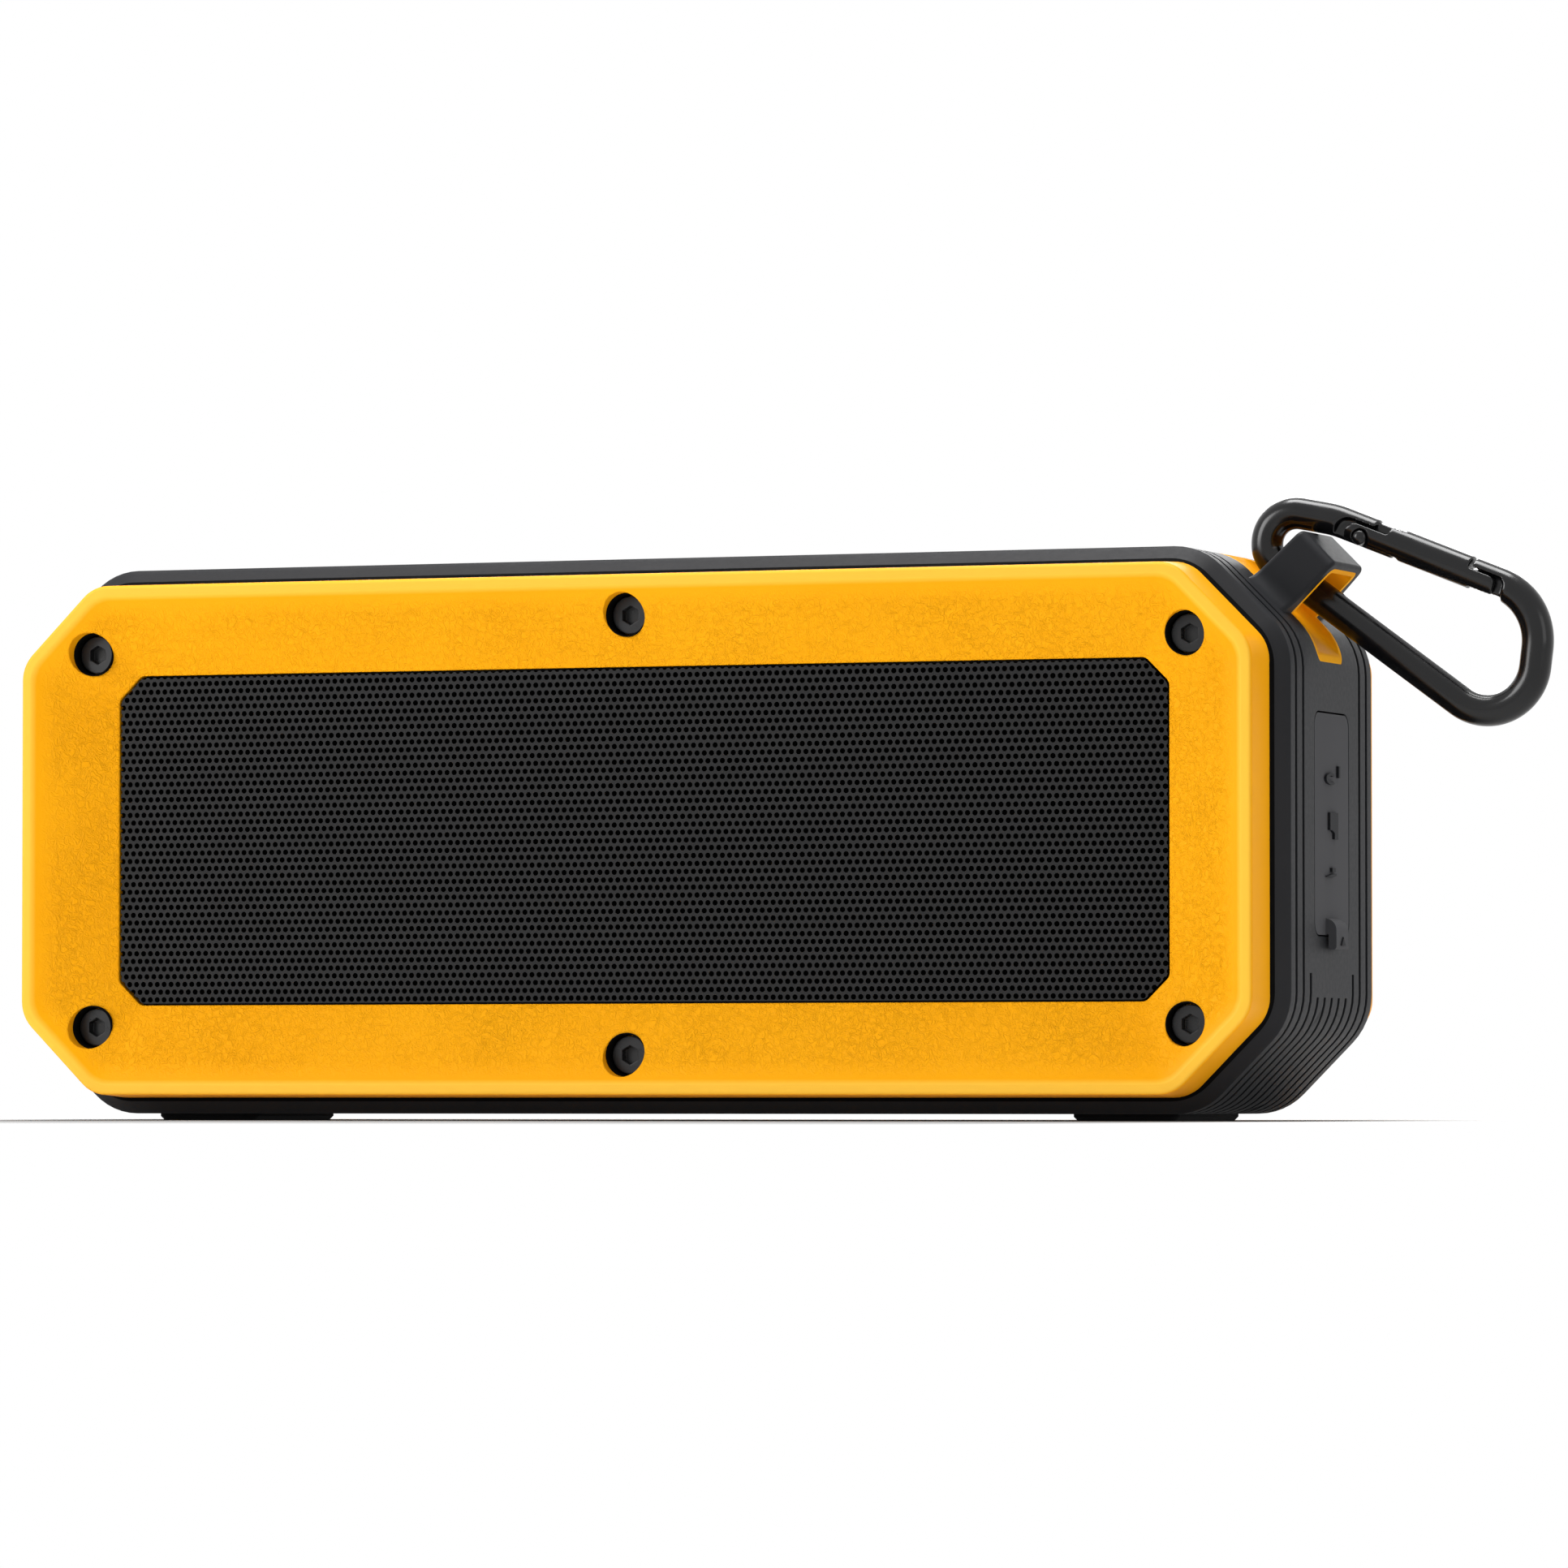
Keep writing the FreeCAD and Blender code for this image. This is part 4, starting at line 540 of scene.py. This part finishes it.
HOLE_PITCH = 1.14 * MM
ROW_PITCH = 1.157 * MM
HOLE_RADIUS = 0.43 * MM
SHEET = 0.6 * MM
GRILLE_Y = 24.4 * MM
GRILLE_HALF_X = 83.0 * MM
GRILLE_HALF_Z = 24.5 * MM
GRILLE_LEG = 3.51 * MM
GRILLE_CORNER = 1.35 * MM
GRILLE_SKIRT = 2.3 * MM
HALF_ROWS = 21
ROW_SHIFT = -0.22 * MM
HOLE_SIDES = 8
FIRST_TURN = -112.5
CUT_TOLERANCE = 1e-9
TRIM_ZONE = 1.5 * ROW_PITCH
FLAT_SHARE = 0.5
CLOTH_GAP = 0.3 * MM
CLOTH_Y = -GRILLE_Y + SHEET + CLOTH_GAP


def grille_outline():
    return rounded_corners(octagon(GRILLE_HALF_X, GRILLE_HALF_Z, GRILLE_LEG), GRILLE_CORNER)


def grille_margin(x, z):
    """How far a point lies inside the grille's octagon."""
    slack_x = GRILLE_HALF_X - abs(x)
    slack_z = GRILLE_HALF_Z - abs(z)
    slack_corner = (slack_x + slack_z - GRILLE_LEG) / math.sqrt(2)
    return min(slack_x, slack_z, slack_corner)


def row_height(half_rows):
    """Height of a lattice line that lies some half pitches above the grille's middle."""
    return half_rows * ROW_PITCH / 2 + ROW_SHIFT


def hole_places():
    """Staggered rows of holes over the whole grille, those cut by its edge included."""
    columns = int(GRILLE_HALF_X / HOLE_PITCH) + 2
    places = []
    for row in range(-HALF_ROWS - 1, HALF_ROWS + 1):
        for column in range(-columns, columns + 1):
            half_column = 2 * column + row % 2
            x = half_column * HOLE_PITCH / 2
            z = row_height(2 * row + 1)
            if grille_margin(x, z) > -ROW_PITCH:
                places.append((x, z, row, half_column))
    return places


def cell_corner_keys(row, half_column):
    """Six lattice points round a hole, shared with the cells beside it."""
    across = (half_column - 1, half_column, half_column + 1)
    below = [(2 * row, column) for column in across]
    above = [(2 * row + 2, column) for column in reversed(across)]
    return below + above


def perforated_cells(bm):
    """The flat sheet as one cell of six faces round each hole. Returns the faces near its edge."""
    lattice = {}

    def lattice_vert(key):
        if key not in lattice:
            lattice[key] = bm.verts.new((key[1] * HOLE_PITCH / 2, 0.0, row_height(key[0])))
        return lattice[key]

    near_edge = []
    turns = [math.radians(FIRST_TURN + 360.0 / HOLE_SIDES * k) for k in range(HOLE_SIDES)]
    for x, z, row, half_column in hole_places():
        outer = [lattice_vert(key) for key in cell_corner_keys(row, half_column)]
        ring = [
            bm.verts.new((x + HOLE_RADIUS * math.cos(t), 0.0, z + HOLE_RADIUS * math.sin(t)))
            for t in turns
        ]
        cell = [
            (outer[0], outer[1], ring[0], ring[7]),
            (outer[1], outer[2], ring[1], ring[0]),
            (outer[2], outer[3], ring[3], ring[2], ring[1]),
            (outer[3], outer[4], ring[4], ring[3]),
            (outer[4], outer[5], ring[5], ring[4]),
            (outer[5], outer[0], ring[7], ring[6], ring[5]),
        ]
        faces = [bm.faces.new(corners) for corners in cell]
        if grille_margin(x, z) < TRIM_ZONE:
            near_edge.extend(faces)
    return near_edge


def trim_to_outline(bm, faces):
    """Cut the faces near the edge along every side of the grille's outline."""
    outline = grille_outline()
    geometry = list(faces)
    geometry.extend({edge for face in faces for edge in face.edges})
    geometry.extend({vert for face in faces for vert in face.verts})
    for k, (x, z) in enumerate(outline):
        next_x, next_z = outline[(k + 1) % len(outline)]
        outward = Vector((next_z - z, 0.0, x - next_x)).normalized()
        trimmed = bmesh.ops.bisect_plane(
            bm, geom=geometry, plane_co=(x, 0.0, z), plane_no=outward,
            dist=CUT_TOLERANCE, clear_outer=True)
        geometry = [part for part in trimmed["geom"] if part.is_valid]


def perforated_plate(name, side):
    """A sheet with real holes, and the skirt down to its flange. What faces sideways, the hole
    walls and the skirt, is painted black as shade.
    """
    bm = bmesh.new()
    trim_to_outline(bm, perforated_cells(bm))
    open_edges = [edge for edge in bm.edges if edge.is_boundary]
    walls = bmesh.ops.extrude_edge_only(bm, edges=open_edges)["geom"]
    deep = [part for part in walls if isinstance(part, bmesh.types.BMVert)]
    bmesh.ops.translate(bm, verts=deep, vec=(0.0, SHEET, 0.0))
    outline = grille_outline()
    upper = [bm.verts.new((x, SHEET, z)) for x, z in outline]
    lower = [bm.verts.new((x, GRILLE_SKIRT, z)) for x, z in outline]
    for k in range(len(outline)):
        n = (k + 1) % len(outline)
        bm.faces.new((upper[n], upper[k], lower[k], lower[n]))
    bmesh.ops.translate(bm, verts=bm.verts, vec=(0.0, -GRILLE_Y, MIDDLE_Z))
    bmesh.ops.recalc_face_normals(bm, faces=bm.faces)
    front = next(face for face in bm.faces if abs(face.normal.y) > FLAT_SHARE)
    if front.normal.y > 0:
        bmesh.ops.reverse_faces(bm, faces=bm.faces)
    plate = from_bmesh(name, face_side(bm, side), GRILLE)
    # painted shade: faces that look sideways get the black material
    plate.data.materials.append(BLACK_AND_SHADE)
    for face in plate.data.polygons:
        if abs(face.normal.y) < FLAT_SHARE:
            face.material_index = 1
    return plate


def backing_cloth(name, side):
    """Black cloth stretched just behind the perforated sheet."""
    bm = bmesh.new()
    cloth = bm.faces.new([bm.verts.new((x, CLOTH_Y, z + MIDDLE_Z)) for x, z in grille_outline()])
    if cloth.normal.y > 0:
        cloth.normal_flip()
    return from_bmesh(name, face_side(bm, side), BLACK_AND_SHADE)


def grilles():
    for side in ("front", "rear"):
        plate = perforated_plate(f"{side}_perforated_grille", side)
        cloth = backing_cloth(f"{side}_grille_cloth", side)
        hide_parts(f"{side}_grille")
        for piece in (plate, cloth):
            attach(piece, "housing")


# Black sleeves in the bezels' screw recesses

SLEEVE_OUTSIDE = 3.24 * MM
SLEEVE_INSIDE = 3.05 * MM
SLEEVE_TOP = 26.75 * MM
SLEEVE_FOOT = 23.15 * MM
SLEEVE_SIDES = 40
CORNER_SCREW_X = 86.6 * MM
CORNER_SCREW_RISE = 28.05 * MM
MIDDLE_SCREW_RISE = 32.35 * MM


def screw_centres():
    """The six screw places of one bezel, as (x, z)."""
    places = []
    for side in (-1, 1):
        places.append((side * CORNER_SCREW_X, MIDDLE_Z - CORNER_SCREW_RISE))
        places.append((side * CORNER_SCREW_X, MIDDLE_Z + CORNER_SCREW_RISE))
        places.append((0.0, MIDDLE_Z + side * MIDDLE_SCREW_RISE))
    return places


def seat_sleeves(name, side):
    """A thin black tube round each screw head, below the yellow lip of its recess."""
    bm = bmesh.new()
    profile = [
        (SLEEVE_OUTSIDE, SLEEVE_FOOT), (SLEEVE_OUTSIDE, SLEEVE_TOP),
        (SLEEVE_INSIDE, SLEEVE_TOP), (SLEEVE_INSIDE, SLEEVE_FOOT),
    ]
    for x, z in screw_centres():
        rings = []
        for k in range(SLEEVE_SIDES):
            t = 2 * math.pi * k / SLEEVE_SIDES
            rings.append([
                bm.verts.new((x + r * math.cos(t), -y, z + r * math.sin(t))) for r, y in profile])
        for k, ring in enumerate(rings):
            after = rings[(k + 1) % SLEEVE_SIDES]
            for n in range(len(profile)):
                m = (n + 1) % len(profile)
                bm.faces.new((ring[n], ring[m], after[m], after[n]))
    bmesh.ops.recalc_face_normals(bm, faces=bm.faces)
    return from_bmesh(name, face_side(bm, side), BLACK_AND_SHADE, smooth=True)


def sleeves():
    for side in ("front", "rear"):
        piece = seat_sleeves(f"{side}_screw_sleeves", side)
        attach(piece, "housing")


# Painted shade: a black strip in the corner between casing and bezel

CORNER_SHADE_WIDTH = 0.55 * MM
CORNER_SHADE_RISE = 0.06 * MM
CORNER_SHADE_STEPS = 8


def casing_outline(inset):
    """The casing's octagon drawn in by an inset, as (x, z) about its middle."""
    leg = CASING_LEG - (2 - math.sqrt(2)) * inset
    corners = octagon(CASING_HALF_LENGTH - inset, CASING_HALF_HEIGHT - inset, leg)
    return rounded_corners(corners, CASING_CORNER - inset, CORNER_SHADE_STEPS)


def corner_shade_strip(name, side):
    """A narrow black strip all round, on the foot of the casing's bevel: painted shade of the gap
    under the bezel.
    """
    bm = bmesh.new()
    outer_inset = BEZEL_INSET - CORNER_SHADE_WIDTH
    levels = (
        (BEZEL_INSET, CASING_HALF_DEPTH + CORNER_SHADE_RISE),
        (outer_inset, CASING_HALF_DEPTH - CORNER_SHADE_WIDTH + CORNER_SHADE_RISE),
        (outer_inset, CASING_HALF_DEPTH - CORNER_SHADE_WIDTH),
    )
    rings = [
        [bm.verts.new((x, -depth, z + MIDDLE_Z)) for x, z in casing_outline(inset)]
        for inset, depth in levels
    ]
    for inner, outer in zip(rings, rings[1:]):
        for k in range(len(inner)):
            n = (k + 1) % len(inner)
            bm.faces.new((inner[k], outer[k], outer[n], inner[n]))
    bmesh.ops.recalc_face_normals(bm, faces=bm.faces)
    if next(iter(bm.faces)).normal.y > 0:
        bmesh.ops.reverse_faces(bm, faces=bm.faces)
    return from_bmesh(name, face_side(bm, side), BLACK_AND_SHADE)


def corner_shade_strips():
    for side in ("front", "rear"):
        piece = corner_shade_strip(f"{side}_corner_shade_strip", side)
        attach(piece, "housing")


# Raised symbols on the port flap

SYMBOL_SINK = 0.05 * MM
FLAP_X = CASING_HALF_LENGTH
TAB_X = 101.6 * MM
FLAP_MARK_HEIGHT = 0.4 * MM
TAB_MARK_HEIGHT = 0.25 * MM


def ellipse_band(y, z, outer, inner, start, end, steps=16):
    """A flat band along an ellipse about (y, z); each edge is (half width, half height)."""
    turns = [math.radians(start + (end - start) * k / steps) for k in range(steps + 1)]
    outside = [(y + outer[0] * math.cos(t), z + outer[1] * math.sin(t)) for t in turns]
    inside = [(y + inner[0] * math.cos(t), z + inner[1] * math.sin(t)) for t in reversed(turns)]
    return outside + inside


def flap_symbols():
    """Generic charging, card and audio symbols as outlines of (y, z) in millimetres."""
    plug = ellipse_band(-1.1, 49.75, (2.6, 0.86), (1.5, 0.45), 50, 310)
    prong = [(2.3, 50.0), (3.1, 50.0), (3.1, 51.7), (2.3, 51.7)]
    card = [
        (-1.9, 44.85), (2.0, 44.85), (2.0, 41.0), (0.3, 41.0),
        (0.3, 41.9), (-1.0, 42.3), (-1.9, 42.3),
    ]
    note_head = [(-3.4, 35.5), (-1.0, 35.4), (1.2, 35.65), (1.2, 36.0), (-0.6, 35.9)]
    note_stem = [(-0.9, 36.2), (0.8, 36.2), (0.8, 36.8), (-0.9, 36.8)]
    return [plug, prong, card, note_head, note_stem]


TAB_SYMBOL = [(0.0, 26.75), (-1.0, 25.5), (1.0, 25.5)]


def raised_sideways(name, outlines, face_x, height):
    """Thin raised shapes on a face that looks along +X."""
    base_x = face_x - SYMBOL_SINK
    shapes = [[(base_x, y * MM, z * MM) for y, z in points] for points in outlines]
    return raised_shapes(name, shapes, (height + SYMBOL_SINK, 0.0, 0.0), FLAP)


def flap_marks():
    marks = raised_sideways("flap_symbols", flap_symbols(), FLAP_X, FLAP_MARK_HEIGHT)
    arrow = raised_sideways("tab_symbol", [TAB_SYMBOL], TAB_X, TAB_MARK_HEIGHT)
    for piece in (marks, arrow):
        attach(piece, "port_flap")


# Raised symbols on the buttons

BUTTON_TOP = 83.0 * MM
SYMBOL_HEIGHT = 0.15 * MM
BUTTON_PITCH = 16.0 * MM
ARC_STEPS = 18


def bar(x, y, length, width):
    return [
        (x - length / 2, y - width / 2), (x + length / 2, y - width / 2),
        (x + length / 2, y + width / 2), (x - length / 2, y + width / 2),
    ]


def disc(x, y, radius, sides=20):
    turns = [2 * math.pi * k / sides for k in range(sides)]
    return [(x + radius * math.cos(t), y + radius * math.sin(t)) for t in turns]


def arc_band(start, end, inner, outer):
    """A flat band along an arc about the middle, from one angle to another in degrees."""
    return ellipse_band(0.0, 0.0, (outer, outer), (inner, inner), start, end, ARC_STEPS)


def button_symbols():
    """Outlines of (x, y) in millimetres about each button's middle."""
    return {
        "power": [arc_band(125, 415, 1.35, 1.75), bar(0, 1.1, 0.4, 1.9)],
        "volume_down": [bar(0, 0, 3.4, 0.55)],
        "play": [[(-1.0, -1.5), (1.6, 0.0), (-1.0, 1.5)]],
        "volume_up": [bar(0, 0, 3.4, 0.55), bar(0, 1.0, 0.55, 1.45), bar(0, -1.0, 0.55, 1.45)],
        "pairing": [arc_band(30, 150, 2.0, 2.4), arc_band(30, 150, 1.0, 1.4), disc(0, -0.2, 0.4)],
    }


def raised_on_top(name, outlines, centre_x):
    """Thin raised shapes on the top of a button."""
    base_z = BUTTON_TOP - SYMBOL_SINK
    shapes = [[(centre_x + x * MM, y * MM, base_z) for x, y in points] for points in outlines]
    return raised_shapes(name, shapes, (0.0, 0.0, SYMBOL_HEIGHT + SYMBOL_SINK), BUTTON)


def button_marks():
    symbols = button_symbols()
    middle = (len(symbols) - 1) / 2
    for number, (name, outlines) in enumerate(symbols.items()):
        centre_x = (number - middle) * BUTTON_PITCH
        mark = raised_on_top(f"{name}_symbol", outlines, centre_x)
        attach(mark, f"{name}_button")


# Stage, light and camera

FOOTPRINT_X = 90.0 * MM
FOOTPRINT_Y = 20.0 * MM
SHADE_ASIDE = 0.035
SHADE_BEFORE = 0.26
SHADE_BEHIND = 0.07
SHADE_DARK = (0.15, 0.15, 0.15)
SHADE_PALE = (0.85, 0.85, 0.85)
FLOOR_GREY = (0.8, 0.8, 0.8)
FLOOR_HALF_SIZE = 6.0
WHITE = (1.0, 1.0, 1.0, 1.0)


def direct_rays(mat):
    """Sockets for what is seen directly, and for what is seen in or through something shiny."""
    path = add(mat, "LightPath").outputs
    shiny = math_node(mat, "MAXIMUM", path["Is Glossy Ray"], path["Is Transmission Ray"])
    return path["Is Camera Ray"], shiny


def shade_distance(mat):
    """Nought at the object's footprint to one at the end of the soft shadow painted on the floor.
    """
    place = add(mat, "SeparateXYZ", {"Vector": object_place(mat)}).outputs
    along = math_node(mat, "ABSOLUTE", place["X"])
    ahead = math_node(mat, "MULTIPLY", place["Y"], -1.0)
    sides = (
        (along, FOOTPRINT_X, SHADE_ASIDE),
        (ahead, FOOTPRINT_Y, SHADE_BEFORE),
        (place["Y"], FOOTPRINT_Y, SHADE_BEHIND),
    )
    total = 0.0
    for value, half, reach in sides:
        beyond = math_node(mat, "MAXIMUM", math_node(mat, "SUBTRACT", value, half), 0.0)
        share = math_node(mat, "DIVIDE", beyond, reach)
        total = math_node(mat, "ADD", math_node(mat, "POWER", share, 2.0), total)
    return math_node(mat, "SQRT", total)


def stage_floor():
    """A pale floor with a painted soft shadow close to the object, white as the background further
    out.
    """
    bm = bmesh.new()
    bmesh.ops.create_grid(bm, x_segments=1, y_segments=1, size=FLOOR_HALF_SIZE)
    mat, shader = new_material("floor_pale", FLOOR_GREY, 0.9, Specular_IOR_Level=0.0)
    seen, shiny = direct_rays(mat)
    away = shade_distance(mat)
    # painted shadow: what the camera sees of the floor darkens towards the object, on top of its
    # real shadow
    shade = colour_mix(mat, ramp(mat, away, 0.0, 0.95), SHADE_DARK, SHADE_PALE)
    link(mat, colour_mix(mat, seen, FLOOR_GREY, shade), shader.inputs["Base Color"])
    white = add(mat, "Emission", {"Color": WHITE, "Strength": 1.0})
    open_floor = math_node(mat, "MULTIPLY", seen, ramp(mat, away, 0.42, 1.0))
    mirrored = math_node(mat, "MULTIPLY", shiny, ramp(mat, away, 0.5, 4.0, 0.15, 0.9))
    share = math_node(mat, "MAXIMUM", open_floor, mirrored)
    mixed = add(mat, "MixShader", {0: share, 1: shader.outputs[0], 2: white.outputs[0]})
    link(mat, mixed.outputs[0], mat.node_tree.nodes["Material Output"].inputs["Surface"])
    floor = from_bmesh("studio_floor", bm, mat)


WORLD_STRENGTH = 0.27


def world_light():
    """Soft light from all round, and a white background for what is seen directly."""
    world = bpy.data.worlds.new("studio")
    world.use_nodes = True
    bpy.context.scene.world = world
    world.node_tree.nodes.clear()
    soft = add(world, "Background", {"Color": WHITE, "Strength": WORLD_STRENGTH})
    white = add(world, "Background", {"Color": WHITE, "Strength": 1.0})
    direct = math_node(world, "MAXIMUM", *direct_rays(world))
    mixed = add(world, "MixShader", {0: direct, 1: soft.outputs[0], 2: white.outputs[0]})
    output = add(world, "OutputWorld")
    link(world, mixed.outputs[0], output.inputs["Surface"])


LIGHT_TARGET = (0.0, 0.0, 0.045)


def area_light(name, place, width, height, power):
    """A rectangular lamp of some watts that looks at the middle of the object."""
    data = bpy.data.lights.new(name, "AREA")
    data.shape = "RECTANGLE"
    data.size = width
    data.size_y = height
    data.energy = power
    lamp = bpy.data.objects.new(name, data)
    lamp.location = place
    aim = Vector(LIGHT_TARGET) - Vector(place)
    lamp.rotation_euler = aim.to_track_quat("-Z", "Y").to_euler()
    bpy.context.scene.collection.objects.link(lamp)


def lights():
    area_light("key_front_left", (-0.95, -1.0, 0.5), 0.7, 0.7, 12.3)
    area_light("overhead", (0.0, 0.1, 1.15), 0.8, 0.5, 17.0)
    area_light("rear_soft", (-0.3, 1.3, 0.7), 0.8, 0.6, 7.0)
    area_light("fill_right", (1.2, -0.5, 0.35), 0.5, 0.6, 1.3)


CAMERA_PLACE = (0.4752, -1.2, 0.0038)
CAMERA_AZIMUTH = 21.0
FOCAL_PIXELS = 10620.0
PHOTO_WIDTH = 1932.0
SENSOR_WIDTH = 36.0
HORIZON_DROP = 383.0
CLIP_START = 0.001
CLIP_END = 20.0


def camera():
    """The photograph's camera: close to the floor, looking a little upwards."""
    data = bpy.data.cameras.new("photo_camera")
    data.sensor_width = SENSOR_WIDTH
    data.lens = FOCAL_PIXELS / PHOTO_WIDTH * SENSOR_WIDTH
    data.clip_start = CLIP_START
    data.clip_end = CLIP_END
    item = bpy.data.objects.new("photo_camera", data)
    item.location = CAMERA_PLACE
    pitch = math.atan(HORIZON_DROP / FOCAL_PIXELS)
    item.rotation_euler = (math.pi / 2 + pitch, 0.0, math.radians(CAMERA_AZIMUTH))
    bpy.context.scene.collection.objects.link(item)
    bpy.context.scene.camera = item


dress_nodes()
carabiner_pieces()
grilles()
sleeves()
corner_shade_strips()
flap_marks()
button_marks()
stage_floor()
world_light()
lights()
camera()
bpy.context.scene.view_settings.view_transform = "Standard"
